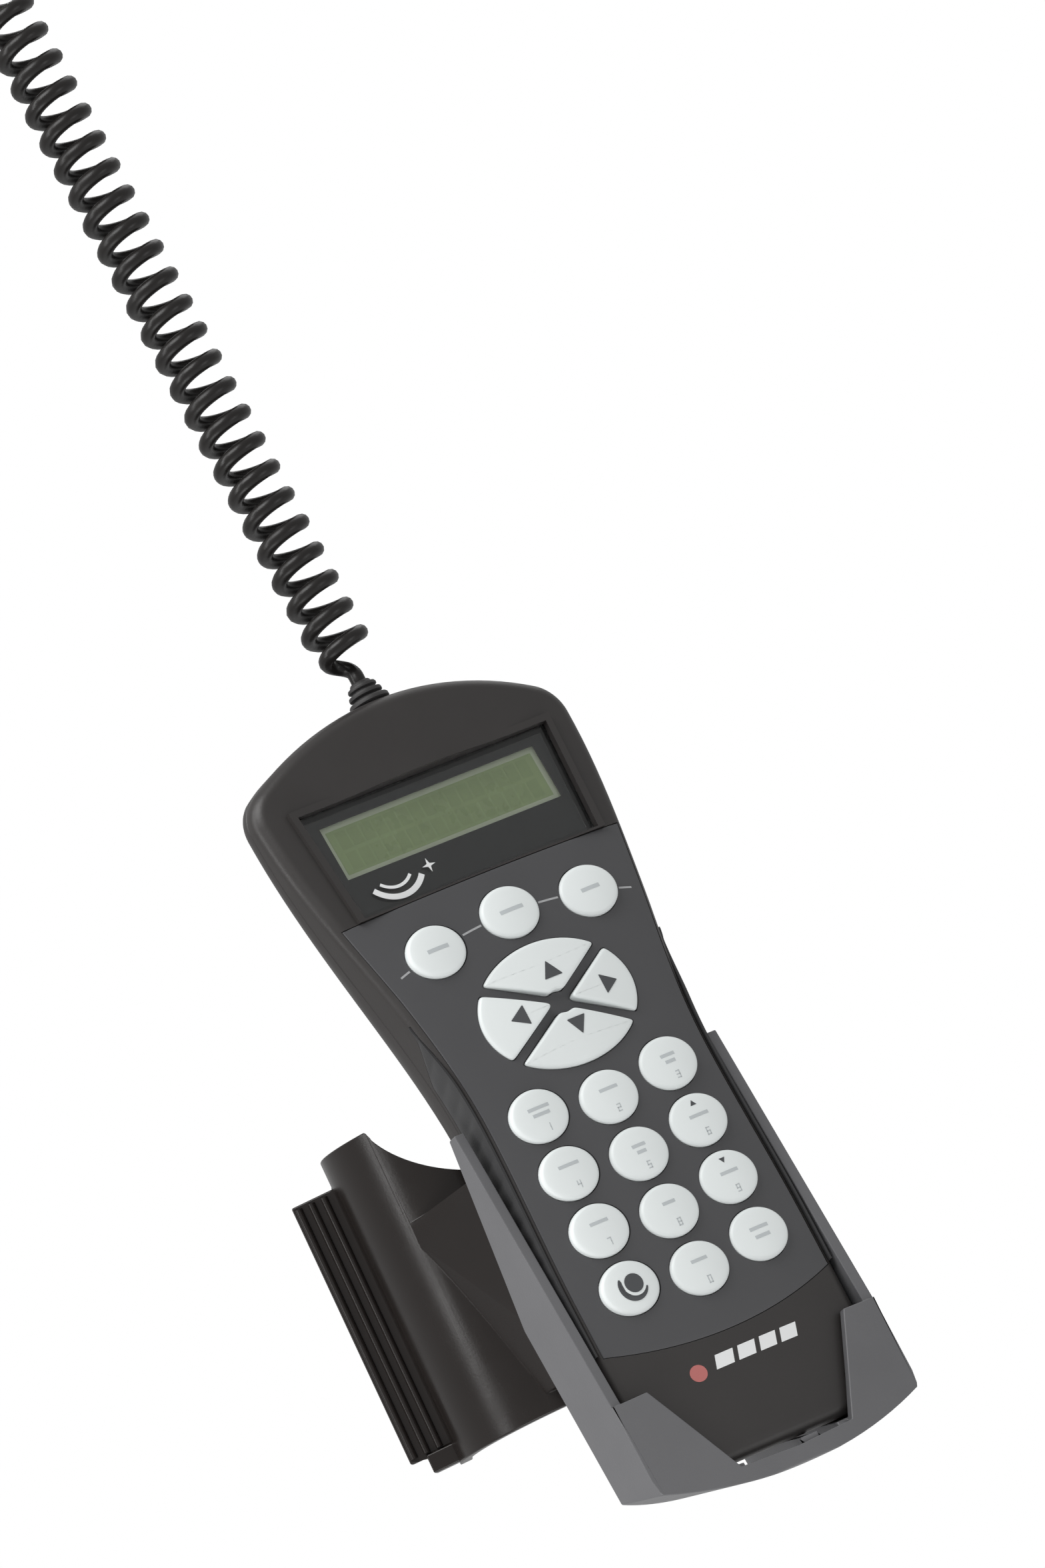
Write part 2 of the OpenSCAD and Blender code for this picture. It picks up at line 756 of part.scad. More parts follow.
// Tray that follows the handset's back, cut to its wings, with ears, an open bottom strip and a rail
module cradle() color("#4a4b4d") {
    side_profile = [[-80, wing_tip_z], [-86, -59], [-86, -100], [-40, -100], [-47, -84], [-66, -30],
                    [-76.5, wing_tip_z]];
    back_plate = [[-15, -80], [15, -80], [15, 31], [11, 35], [-11, 35], [-15, 31]];
    ear = [[29, -59], [37.4, -59], [60, -60], [60, -100], [0, -100], [0, -85.2], [16.3, -84.4]];
    // Openings in the floor: left edge and width
    slots = [[-15, 18.5], [6.5, 8.5]];
    notches = [[-14, 16.5], [7.5, 6]];
    difference() {
        union() {
            intersection() {
                difference() {
                    intersection() {
                        slab(-100, -40) polygon(tray_outline(0));
                        before_back(-cradle_clear - cradle_wall);
                    }
                    intersection() {
                        slab(-101, -39)
                            polygon(mirrored([[cradle_half_w, -100], [cradle_half_w, tray_top_z + 1]]));
                        before_back(-cradle_clear);
                        above_end(-cradle_clear);
                    }
                }
                union() {
                    cross_slab(-far, far) polygon(side_profile);
                    slab(-62, -40) polygon(back_plate);
                }
            }
            for (s = [-1, 1]) intersection() {
                slab(-100, -80) polygon([for (p = ear) [s * p.x, p.y]]);
                slab(-101, -79) polygon(tray_outline(0));
                difference() {
                    behind_face(-ear_clear - ear_t);
                    behind_face(-ear_clear);
                }
            }
            intersection() {
                slab(-88.5, -83) polygon(tray_outline(0));
                translate([-far, -far, cradle_floor_z - far]) cube([2 * far, 2 * far, far]);
                behind_face(-ear_clear);
            }
            difference() {
                union() {
                    translate([-rail_neck_w / 2, rail_y0, rail_z0])
                        cube([rail_neck_w, rail_head_y - rail_y0, rail_z1 - rail_z0]);
                    translate([-rail_head_w / 2, rail_neck_y, rail_z0])
                        cube([rail_head_w, rail_head_y - rail_neck_y, rail_z1 - rail_z0]);
                }
                before_back(-cradle_clear - cradle_wall / 2);
            }
        }
        bottom_end() translate([0, 0, cradle_low_z - bottom_z]) difference() {
            translate([-60, -30, -30]) cube([120, 80, 51]);
            translate([0, 60, cradle_arc_r]) rotate([90, 0, 0]) cylinder(r = cradle_arc_r, h = 100, $fn = 256);
        }
        for (slot = slots) bottom_end() translate([slot.x, 1.2, -12]) cube([slot.y, 60, 13.2]);
        for (notch = notches) translate([notch.x, -88, cradle_floor_z - 2]) cube([notch.y, 4, 2.6]);
    }
}

// Everything that follows the leg's axis
module leg_frame() {
    rotate([leg_lean, 0, 0]) children();
}

// One flared lip of the clip, ribbed lengthwise, with a block under it, in the leg's frame
module clip_lip() {
    lip_x0 = leg_r + clip_wall / 2;
    lip_x1 = leg_r + clip_wall + lip_len;
    lip_z0 = 5 - clip_h / 2;
    lip_z1 = clip_h / 2 - 7;
    translate([lip_x0, -lip_t, lip_z0]) cube([lip_x1 - lip_x0, lip_t, lip_z1 - lip_z0]);
    for (i = [0:2]) translate([lip_x1 - 1.6 - lip_rib_step * i, -lip_t - 0.3, lip_z0 + 1])
        cylinder(r = lip_rib_r, h = lip_z1 - lip_z0 - 2, $fn = 32);
    translate([lip_x0 + 0.4, -5, 0.6 - clip_h / 2]) cube([7.6, 4.6, lip_z0 + clip_h / 2 - 0.2]);
}

module leg_clamp() color("#39332f") {
    clip_r = leg_r + clip_wall;
    end_angle = 90 - mouth_angle / 2;
    mouth = 60;
    mouth_half_w = mouth * tan(mouth_angle / 2);
    slide_h = 90;
    neck_top = [[-26, -12], [-14, -47], [14, -47], [26, -12]];
    neck_foot = [[-16, -20], [-13, -47], [13, -47], [16, -20]];
    difference() {
        union() {
            leg_frame() difference() {
                cylinder(r = clip_r, h = clip_h, center = true, $fn = 128);
                translate([0, 0, -clip_h]) linear_extrude(2 * clip_h)
                    polygon([[0, 0], [mouth_half_w, mouth], [-mouth_half_w, mouth]]);
                translate([0, -2, clip_h / 2 + scoop_rise]) rotate([90, 0, 0])
                    cylinder(r = scoop_r, h = 60, $fn = 128);
            }
            for (s = [0, 1]) leg_frame() mirror([s, 0, 0]) rotate([0, 0, end_angle]) clip_lip();
            hull() {
                translate([0, 0, neck_z1]) linear_extrude(1) polygon(neck_top);
                translate([0, 0, block_z0]) linear_extrude(1) polygon(neck_foot);
            }
            translate([-block_half_w, block_y, block_z0]) cube([2 * block_half_w, 10, block_z1 - block_z0]);
        }
        leg_frame() cylinder(r = leg_r, h = clip_h + 20, center = true, $fn = 128);
        translate([-rail_neck_w / 2 - fit_gap, block_y - 1, rail_z0 - fit_gap])
            cube([rail_neck_w + 2 * fit_gap, rail_head_y - block_y + 1, slide_h]);
        translate([-rail_head_w / 2 - fit_gap, rail_neck_y - fit_gap, rail_z0 - fit_gap])
            cube([rail_head_w + 2 * fit_gap, rail_head_y - rail_neck_y + 2 * fit_gap, slide_h]);
    }
}

leg_clamp();
cradle();
front_shell();
rear_shell();
left_grip();
right_grip();
keypad_panel();
display_window();
window_gasket();
display_mask();
display_frame();
display_glass();
display_backlight();
display_board();
display_ribbon();
keypad_web();
main_board();
switch_domes();
key_lights();
processor_chip();
memory_chip();
cord_header();
inner_lead();
data_port();
case_screws();
board_screws();
strain_relief();
cord_lead();
cord_coil();
cord_tail();
cord_plug();
plug_contacts();
for (k = round_keys) round_key(k);
for (k = arrow_keys) arrow_key(k);
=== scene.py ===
"""Looks of the telescope hand controller with its cradle, leg clamp and curly cord.

Lengths in the build code are millimetres in the frame's axes; build_object() turns them into metres.
"""
import math

import bmesh
import bpy
from mathutils import Matrix, Vector


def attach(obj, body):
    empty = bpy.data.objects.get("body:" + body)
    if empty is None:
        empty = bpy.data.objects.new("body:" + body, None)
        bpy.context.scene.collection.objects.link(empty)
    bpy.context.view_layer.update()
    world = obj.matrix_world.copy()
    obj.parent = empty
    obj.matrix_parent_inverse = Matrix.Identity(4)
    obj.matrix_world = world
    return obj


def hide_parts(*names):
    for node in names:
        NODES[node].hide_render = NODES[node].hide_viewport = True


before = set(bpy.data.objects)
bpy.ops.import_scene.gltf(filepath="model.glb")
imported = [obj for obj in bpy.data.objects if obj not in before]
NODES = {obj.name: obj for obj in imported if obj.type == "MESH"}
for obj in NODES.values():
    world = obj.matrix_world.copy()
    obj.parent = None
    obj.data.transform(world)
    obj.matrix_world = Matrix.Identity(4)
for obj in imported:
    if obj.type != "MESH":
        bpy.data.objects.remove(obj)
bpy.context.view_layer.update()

MM = 0.001

# ---------------------------------------------------------------- sizes, in millimetres
FACE_Y = -86.5
SEAM_Y = -73.7
BACK_Y = -55.5
BACK_TILT = math.radians(3.0)
END_TILT = math.radians(14.0)
WALL = 2.2
CROWN_R = 267.0
BACK_CROWN_R = 64.0
BEND_Z = 52.0
FACE_TILT = math.radians(4.4)
HEAD_HALF_W = 46.0
WAIST_HALF_W = 33.6
FOOT_HALF_W = 34.9
TOP_Z = 123.5
BOTTOM_Z = -83.0
DOME_R = 84.6
WAIST_Z = 14.0
FOOT_Z = -34.0
HEAD_CORNER_R = 10.0
FOOT_CORNER_R = 8.0
FRONT_EDGE_R = 3.0
BACK_EDGE_R = 8.0
SEAM_CHAMFER = 0.3
SPINE_Z = (-58.0, 80.0)
PANEL_RIM = 1.7
PANEL_TOP_Z = 72.7
PANEL_ARC_R = 104.5
PANEL_ARC_Z = -52.4
PANEL_T = 0.8
WINDOW_Z = (73.5, 103.0)
WINDOW_HALF = (34.3, 36.5)
PANE_DEPTH = 3.1
STACK_DEPTH = 5.0
LCD_Z = 92.0
CELL_PITCH = 3.55
CELL_ROW = 2.85
CELL_HALF_W = 1.48
CELL_HALF_H = 2.35
KEY_W = 15.7
KEY_H = 13.4
KEY_PROUD = 1.9
KEY_GAP = 0.25
KEY_DOME_R = 30.0
STEM_INSET = 6
PAD_DX = 19.0
PAD_DZ = 15.55
PAD_TOP_Z = 10.3
PAD_SIDE_STEP = 2.2
ARROWS_Z = 36.0
ARROWS_W = 43.4
ARROWS_H = 32.0
ARROWS_GAP = 2.5
ARROWS_PROUD = 2.4
ARROWS_DOME_R = 90.0
ARROWS_HUB_R = 3.1
ARROWS_ANGLE = math.radians(29.4)
STEM_END_Y = -80.4
CORD_Y = -73.7
CORD_D = 3.8
COIL_R = 6.0
CORD_Z = (130.5, 327.5)
COIL_TURNS = 23.5
COIL_PITCH = 7.7
LEAD_IN_TURNS = 0.5
LEAD_IN_RATE = 12.0
PRINT_T = 0.06
PRINT_LIFT = 0.04
DISC_LIFT = 0.11
ARROW_LIFT = 0.1
CORD_HOLE_R = 4.1
FLARE_H = 92


# ---------------------------------------------------------------- materials
def principled(name):
    material = bpy.data.materials.new(name)
    material.use_nodes = True
    nodes = material.node_tree.nodes
    return material, nodes, material.node_tree.links, nodes["Principled BSDF"]


def set_inputs(shader, **values):
    names = {"metal": "Metallic", "ior": "IOR", "sheen": "Sheen Weight", "through": "Transmission Weight",
             "specular": "Specular IOR Level"}
    for key, value in values.items():
        shader.inputs[names[key]].default_value = value


def noise(nodes, links, coordinate, scale, detail=2.0, roughness=0.5):
    node = nodes.new("ShaderNodeTexNoise")
    node.inputs["Scale"].default_value = scale
    node.inputs["Detail"].default_value = detail
    node.inputs["Roughness"].default_value = roughness
    links.new(coordinate, node.inputs["Vector"])
    return node.outputs["Fac"]


def remap(nodes, links, value, low, high, out_low, out_high):
    node = nodes.new("ShaderNodeMapRange")
    for name, number in (("From Min", low), ("From Max", high), ("To Min", out_low), ("To Max", out_high)):
        node.inputs[name].default_value = number
    links.new(value, node.inputs["Value"])
    return node.outputs["Result"]


def surface(name, colour, rough, grain=900.0, grain_depth=0.00003, variation=0.12, wear=0.1, **values):
    """A moulded or metal surface: fine grain, slow colour variation and glossier handled patches."""
    material, nodes, links, shader = principled(name)
    set_inputs(shader, **values)
    place = nodes.new("ShaderNodeNewGeometry").outputs["Position"]
    patches = noise(nodes, links, place, 38.0, 3.0, 0.6)
    ramp = nodes.new("ShaderNodeMix")
    ramp.data_type = "RGBA"
    ramp.inputs["A"].default_value = tuple(c * (1 - variation) for c in colour) + (1,)
    ramp.inputs["B"].default_value = tuple(min(1, c * (1 + variation)) for c in colour) + (1,)
    links.new(patches, ramp.inputs["Factor"])
    links.new(ramp.outputs["Result"], shader.inputs["Base Color"])
    handled = noise(nodes, links, place, 61.0, 4.0, 0.65)
    gloss = remap(nodes, links, handled, 0.3, 0.7, rough + wear / 2, rough - wear / 2)
    links.new(gloss, shader.inputs["Roughness"])
    if grain_depth:
        bump = nodes.new("ShaderNodeBump")
        bump.inputs["Strength"].default_value = 0.5
        bump.inputs["Distance"].default_value = grain_depth
        links.new(noise(nodes, links, place, grain, 2.0, 0.5), bump.inputs["Height"])
        links.new(bump.outputs["Normal"], shader.inputs["Normal"])
    return material


M = {
    "casing_front": surface("casing_front", (0.027, 0.0245, 0.0235), 0.42, 1500, 0.00005, wear=0.12,
                            specular=0.42),
    "casing_rear": surface("casing_rear", (0.025, 0.0225, 0.0215), 0.45, 1500, 0.00005, wear=0.12),
    "panel": surface("panel_film", (0.056, 0.056, 0.059), 0.44, 2600, 0.00003, variation=0.06, wear=0.08),
    "grip": surface("grip_rubber", (0.017, 0.017, 0.018), 0.62, 2200, 0.00006, variation=0.1, wear=0.08,
                    sheen=0.08),
    "key": surface("key_silicone", (0.70, 0.735, 0.73), 0.40, 1800, 0.00002, variation=0.025, wear=0.08),
    "key_print": surface("key_print", (0.45, 0.48, 0.49), 0.5, 2000, 0, variation=0.05),
    "dark_print": surface("dark_print", (0.055, 0.058, 0.062), 0.5, 2000, 0, variation=0.05),
    "white_print": surface("white_print", (0.72, 0.73, 0.73), 0.5, 2000, 0, variation=0.04),
    "line_print": surface("line_print", (0.33, 0.335, 0.34), 0.5, 2000, 0, variation=0.05),
    "red_print": surface("red_print", (0.42, 0.13, 0.12), 0.5, 2000, 0, variation=0.05),
    "mask": surface("mask_black", (0.005, 0.005, 0.0054), 0.55, 2000, 0.00002, specular=0.2),
    "foam": surface("seal_foam", (0.012, 0.012, 0.012), 0.9, 900, 0.0001),
    "lcd_border": surface("lcd_border", (0.56, 0.61, 0.45), 0.35, 2000, 0.00001, variation=0.04),
    "lcd": surface("lcd_field", (0.32, 0.41, 0.185), 0.28, 2000, 0, variation=0.05),
    "lcd_cell": surface("lcd_cell", (0.29, 0.375, 0.165), 0.28, 2000, 0, variation=0.05),
    "diffuser": surface("light_diffuser", (0.60, 0.65, 0.45), 0.6, 1200, 0.00002),
    "steel": surface("frame_steel", (0.50, 0.51, 0.52), 0.34, 2400, 0.00003, metal=1.0),
    "dome_steel": surface("dome_steel", (0.70, 0.70, 0.70), 0.2, 2400, 0.00001, metal=1.0),
    "screw": surface("screw_steel", (0.42, 0.42, 0.43), 0.33, 2400, 0.00003, metal=1.0),
    "board": surface("circuit_board", (0.020, 0.155, 0.075), 0.4, 1600, 0.00004, variation=0.2),
    "ribbon": surface("ribbon_film", (0.50, 0.46, 0.38), 0.35, 1600, 0.00001),
    "web": surface("web_silicone", (0.55, 0.57, 0.57), 0.55, 1600, 0.00002),
    "red_light": surface("light_red", (0.60, 0.04, 0.03), 0.2, 1600, 0),
    "chip": surface("chip_epoxy", (0.011, 0.011, 0.012), 0.55, 2600, 0.00004),
    "nylon": surface("header_nylon", (0.75, 0.73, 0.65), 0.5, 1800, 0.00002),
    "port": surface("port_plastic", (0.012, 0.012, 0.013), 0.45, 1800, 0.00003),
    "relief": surface("relief_rubber", (0.018, 0.017, 0.017), 0.55, 1800, 0.00004, sheen=0.05),
    "cord": surface("cord_jacket", (0.011, 0.0098, 0.0092), 0.32, 1400, 0.00003, variation=0.15, wear=0.15,
                    specular=0.3),
    "gold": surface("contact_gold", (0.78, 0.56, 0.22), 0.22, 2400, 0.00001, metal=1.0),
    "cradle": surface("cradle_plastic", (0.112, 0.112, 0.117), 0.44, 1700, 0.00005, wear=0.1),
    "clamp": surface("clamp_plastic", (0.013, 0.0105, 0.0095), 0.24, 1500, 0.00003, wear=0.1, specular=0.3),
}


def clear_plastic(name, colour, rough, grain, **values):
    """See-through plastic with a faint unevenness in its gloss."""
    material, nodes, links, shader = principled(name)
    set_inputs(shader, through=1.0, ior=1.49, **values)
    shader.inputs["Base Color"].default_value = colour + (1,)
    place = nodes.new("ShaderNodeNewGeometry").outputs["Position"]
    smears = noise(nodes, links, place, grain, 3.0, 0.6)
    links.new(remap(nodes, links, smears, 0.3, 0.7, rough, rough * 2), shader.inputs["Roughness"])
    return material


M["pane"] = clear_plastic("window_pane", (0.86, 0.88, 0.87), 0.02, 60.0)
M["plug"] = clear_plastic("plug_clear", (0.86, 0.89, 0.88), 0.05, 120.0)


# ---------------------------------------------------------------- mesh helpers
def build_object(name, points, faces):
    mesh = bpy.data.meshes.new(name)
    mesh.from_pydata([Vector(p) * MM for p in points], [], faces)
    merged = bmesh.new()
    merged.from_mesh(mesh)
    bmesh.ops.remove_doubles(merged, verts=merged.verts, dist=0.000002)
    bmesh.ops.dissolve_degenerate(merged, edges=merged.edges, dist=0.000001)
    bmesh.ops.recalc_face_normals(merged, faces=merged.faces)
    merged.to_mesh(mesh)
    merged.free()
    thing = bpy.data.objects.new(name, mesh)
    bpy.context.scene.collection.objects.link(thing)
    return thing


def bake_modifiers(thing):
    """Keeps the modifiers' result as the piece's own mesh."""
    evaluated = thing.evaluated_get(bpy.context.evaluated_depsgraph_get())
    mesh = bpy.data.meshes.new_from_object(evaluated)
    thing.modifiers.clear()
    old = thing.data
    thing.data = mesh
    bpy.data.meshes.remove(old)
    mesh.name = thing.name
    return thing


def combine(thing, other, operation="DIFFERENCE"):
    change = thing.modifiers.new(operation.lower(), "BOOLEAN")
    change.operation = operation
    change.solver = "EXACT"
    change.object = other
    bake_modifiers(thing)
    bpy.data.objects.remove(other)
    return thing


def merge(things):
    """Puts separate closed shapes into one object, such as a set of cutters."""
    points, faces = [], []
    for thing in things:
        start = len(points)
        points += [v.co / MM for v in thing.data.vertices]
        faces += [[start + i for i in f.vertices] for f in thing.data.polygons]
        bpy.data.objects.remove(thing)
    return build_object("merged", points, faces)


def smooth(thing, angle=32):
    thing.data.shade_smooth()
    thing.data.set_sharp_from_angle(angle=math.radians(angle))
    return thing


def even_normals(thing, angle=32):
    """Smooth shading that large flat faces decide, for a shape with cuts in it."""
    smooth(thing, angle)
    weighted = thing.modifiers.new("normals", "WEIGHTED_NORMAL")
    weighted.keep_sharp = True
    weighted.weight = 100
    return bake_modifiers(thing)


def dress(thing, material, body, replaces=()):
    """Material, body and the CAD nodes that the piece stands for."""
    thing.data.materials.clear()
    thing.data.materials.append(M[material])
    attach(thing, body)
    if replaces:
        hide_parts(*replaces)
    return thing


def loft(name, rings, start_cap=False, end_cap=False):
    """A skin over closed rings of points. A cap is one flat face."""
    count = len(rings[0])
    points = [p for ring in rings for p in ring]
    faces = []
    for k in range(len(rings) - 1):
        for i in range(count):
            j = (i + 1) % count
            faces.append([k * count + i, k * count + j, (k + 1) * count + j, (k + 1) * count + i])
    if start_cap:
        faces.append(list(range(count))[::-1])
    if end_cap:
        faces.append([(len(rings) - 1) * count + i for i in range(count)])
    return build_object(name, points, faces)


def block(name, low, high, bevel=0.0, segments=3, turn=None):
    """A box with rounded edges."""
    (x0, y0, z0), (x1, y1, z1) = low, high
    points = [(x, y, z) for x in (x0, x1) for y in (y0, y1) for z in (z0, z1)]
    faces = [[0, 1, 3, 2], [4, 6, 7, 5], [0, 4, 5, 1], [2, 3, 7, 6], [0, 2, 6, 4], [1, 5, 7, 3]]
    return round_edges(build_object(name, points, faces), bevel, segments, turn=turn)


def prism(name, outline, low, high, axis, bevel=0.0, segments=3, turn=None):
    """An outline made solid along an axis; the outline is in the two other axes, in their order."""
    def place(p, level):
        return {"x": (level, p[0], p[1]), "y": (p[0], level, p[1]), "z": (p[0], p[1], level)}[axis]
    rings = [[place(p, level) for p in outline] for level in (low, high)]
    return round_edges(loft(name, rings, True, True), bevel, segments, turn=turn)


def round_edges(thing, bevel, segments=3, angle=25, turn=None):
    if bevel:
        shape = bmesh.new()
        shape.from_mesh(thing.data)
        sharp = [e for e in shape.edges if e.is_manifold and e.calc_face_angle(0) > math.radians(angle)]
        bmesh.ops.bevel(shape, geom=sharp, offset=bevel * MM, segments=segments, profile=0.5, affect="EDGES",
                        clamp_overlap=True)
        shape.to_mesh(thing.data)
        shape.free()
    if turn is not None:
        thing.data.transform(turn)
    return thing


def lerp(a, b, t):
    return a + (b - a) * t


def ease(t):
    t = min(1.0, max(0.0, t))
    return t * t * (3 - 2 * t)


def arc(centre, radius, start, end, steps):
    return [(centre[0] + radius * math.cos(lerp(start, end, i / steps)),
             centre[1] + radius * math.sin(lerp(start, end, i / steps))) for i in range(steps + 1)]


# ---------------------------------------------------------------- the casing's surfaces
def half_width(z):
    if z >= WAIST_Z:
        return lerp(WAIST_HALF_W, HEAD_HALF_W, ease((z - WAIST_Z) / FLARE_H))
    return lerp(WAIST_HALF_W, FOOT_HALF_W, ease((WAIST_Z - z) / (WAIST_Z - FOOT_Z)))


DOME_CZ = TOP_Z - DOME_R
HEAD_CORNER_X = HEAD_HALF_W - HEAD_CORNER_R
HEAD_CORNER = (HEAD_CORNER_X, DOME_CZ + math.sqrt((DOME_R - HEAD_CORNER_R) ** 2 - HEAD_CORNER_X ** 2))
HEAD_END = math.atan2(HEAD_CORNER[1] - DOME_CZ, HEAD_CORNER[0])
FOOT_CORNER = (FOOT_HALF_W - FOOT_CORNER_R, BOTTOM_Z + FOOT_CORNER_R)


def casing_outline(inset):
    """The casing's rim in X and Z, inset, anticlockwise from the middle of the bottom end."""
    bottom = [(FOOT_CORNER[0] * i / 8, BOTTOM_Z + inset) for i in range(8)]
    foot = arc(FOOT_CORNER, FOOT_CORNER_R - inset, -math.pi / 2, 0, 10)
    sides = 44
    low, high = FOOT_CORNER[1], HEAD_CORNER[1]
    levels = [lerp(low, high, i / sides) for i in range(1, sides)]
    side = [(half_width(z) - inset, z) for z in levels]
    head = arc(HEAD_CORNER, HEAD_CORNER_R - inset, 0, HEAD_END, 10)
    dome = arc((0, DOME_CZ), DOME_R - inset, HEAD_END, math.pi / 2, 14)[1:]
    right = bottom + foot + side + head + dome
    return right + [(-x, z) for x, z in right[-2:0:-1]]


def sag(x, radius=CROWN_R):
    return radius - math.sqrt(radius * radius - x * x)


def bend(z):
    """Depth that the upper face has sloped back at a height, with the crease eased over a few millimetres."""
    above, soft = z - BEND_Z, 2.5
    return (above + math.sqrt(above * above + soft * soft)) / 2 * math.tan(FACE_TILT)


def face_y(x, z):
    return FACE_Y + sag(x) + bend(z) - bend(0.0)


def fillet(edge, radius):
    """How far a rounded edge has dropped at a distance in from the rim."""
    if edge >= radius:
        return 0.0
    return radius - math.sqrt(max(0.0, radius ** 2 - (radius - edge) ** 2))


def panel_y(x, z):
    return face_y(x, z) + fillet(half_width(z) - abs(x), FRONT_EDGE_R)


def back_y(x, z):
    return BACK_Y + z * math.tan(BACK_TILT) - sag(x, BACK_CROWN_R) / math.cos(BACK_TILT)


def end_slope(point):
    """Slopes the casing's bottom end upward to the back; the change fades out up the handle."""
    x, y, z = point
    share = min(1.0, max(0.0, (z + 55) / (BOTTOM_Z + 55)))
    return x, y, z + (y - FACE_Y) * math.tan(END_TILT) * share


FILL_STEPS = [i / 14 for i in range(15)]


def flank_ring(inset, y):
    return [(x, y, z) for x, z in casing_outline(inset)]


def fill_rings(rim, height):
    """Rings from a rim of (x, z) points in to the spine, each point's depth given by height(x, z)."""
    rings = []
    for t in FILL_STEPS:
        inner = [(lerp(x, 0.0, t), lerp(z, min(SPINE_Z[1], max(SPINE_Z[0], z)), t)) for x, z in rim]
        rings.append([(x, height(x, z), z) for x, z in inner])
    return rings


def casing_skin(name, rings):
    return loft(name, [[end_slope(p) for p in ring] for ring in rings])


def front_shell_body():
    outer = [flank_ring(SEAM_CHAMFER, SEAM_Y), flank_ring(0, SEAM_Y - SEAM_CHAMFER)]
    for share in (0.33, 0.66):
        outer.append([(x, lerp(SEAM_Y, face_y(x, z) + FRONT_EDGE_R, share), z) for x, z in casing_outline(0)])
    for i in range(6):
        turn = math.pi / 2 * i / 6
        rim = casing_outline(FRONT_EDGE_R * (1 - math.cos(turn)))
        outer.append([(x, face_y(x, z) + FRONT_EDGE_R * (1 - math.sin(turn)), z) for x, z in rim])
    outer += fill_rings(casing_outline(FRONT_EDGE_R), face_y)
    inner = [flank_ring(WALL, SEAM_Y)]
    inner.append([(x, face_y(x, z) + WALL + 1.5, z) for x, z in casing_outline(WALL)])
    inner += fill_rings(casing_outline(WALL + 1.0), lambda x, z: face_y(x, z) + WALL)
    return casing_skin("front_shell_body", inner[::-1] + outer)


def back_skin(inset, depth):
    """Rings of the rear shell's skin, from the seam round its soft edge and in to the spine."""
    soft = BACK_EDGE_R - inset
    pairs = list(zip(casing_outline(inset), casing_outline(BACK_EDGE_R - 0.01)))
    radii = [max(0.2, min(soft, (depth(x, z) - SEAM_Y - SEAM_CHAMFER) * 0.8)) for (x, z), _ in pairs]
    rings = []
    for i in range(9):
        turn = math.pi / 2 * i / 8
        rim = []
        for (near, far), radius in zip(pairs, radii):
            share = radius * (1 - math.cos(turn)) / soft
            rim.append((lerp(near[0], far[0], share), lerp(near[1], far[1], share)))
        if i < 8:
            rings.append([(x, depth(x, z) - r * (1 - math.sin(turn)), z) for (x, z), r in zip(rim, radii)])
    return rings + fill_rings(rim, depth)


def rear_shell_body():
    outer = [flank_ring(SEAM_CHAMFER, SEAM_Y), flank_ring(0, SEAM_Y + SEAM_CHAMFER)] + back_skin(0, back_y)
    inner = [flank_ring(WALL, SEAM_Y)] + back_skin(WALL, lambda x, z: max(SEAM_Y + 0.2, back_y(x, z) - WALL))
    return casing_skin("rear_shell_body", inner[::-1] + outer)


# ---------------------------------------------------------------- keypad panel
def panel_outline(inset):
    """The panel's rim: curved lower edge, sides that follow the casing, straight top edge."""
    side_inset = PANEL_RIM + inset
    radius = PANEL_ARC_R - inset

    def arc_z(x):
        return PANEL_ARC_Z + PANEL_ARC_R - math.sqrt(radius * radius - x * x)
    corner_x = FOOT_HALF_W - side_inset
    lower = [(corner_x * i / 16, arc_z(corner_x * i / 16)) for i in range(17)]
    top = PANEL_TOP_Z - inset
    z0 = lower[-1][1]
    side = [(half_width(lerp(z0, top, i / 50)) - side_inset, lerp(z0, top, i / 50)) for i in range(1, 51)]
    upper = [(side[-1][0] * (1 - i / 16), top) for i in range(1, 17)]
    right = lower + side + upper
    return right + [(-x, z) for x, z in right[-2:0:-1]]


def panel_plate(name, grow, front, back, edge):
    """A plate that follows the crowned face between two depths, with a softened front edge."""
    def at(depth):
        return lambda x, z: panel_y(x, z) + depth

    def ring(inset, depth):
        return [(x, panel_y(x, z) + depth, z) for x, z in panel_outline(inset - grow)]
    skin = fill_panel(panel_outline(edge - grow), at(front))
    inside = fill_panel(panel_outline(-grow), at(back))
    rim = [ring(0, back), ring(0, front + edge)]
    if edge:
        rim += [ring(edge * 0.3, front + edge * 0.3), ring(edge, front)]
    return loft(name, inside[::-1] + rim + skin)


def fill_panel(rim, height):
    rings = []
    for t in FILL_STEPS:
        inner = [(lerp(x, 0.0, t), lerp(z, min(60.0, max(-36.0, z)), t)) for x, z in rim]
        rings.append([(x, height(x, z), z) for x, z in inner])
    return rings


# ---------------------------------------------------------------- keys
def key_front(x, z):
    """Depth of the face where a key stands."""
    return FACE_Y + sag(x) + max(0, z - BEND_Z) * math.tan(FACE_TILT)


def upper_tilt(x, z):
    """Turns a key's own axes (face plane at y 0) into the frame."""
    tilt = -FACE_TILT if z > BEND_Z else 0.0
    return Matrix.Translation(Vector((x, key_front(x, z), z)) * MM) @ Matrix.Rotation(tilt, 4, "X")


def circle_angles(count):
    return [2 * math.pi * i / count for i in range(count)]


def oval(w, h, count=64):
    return [(w / 2 * math.cos(a), h / 2 * math.sin(a)) for a in circle_angles(count)]


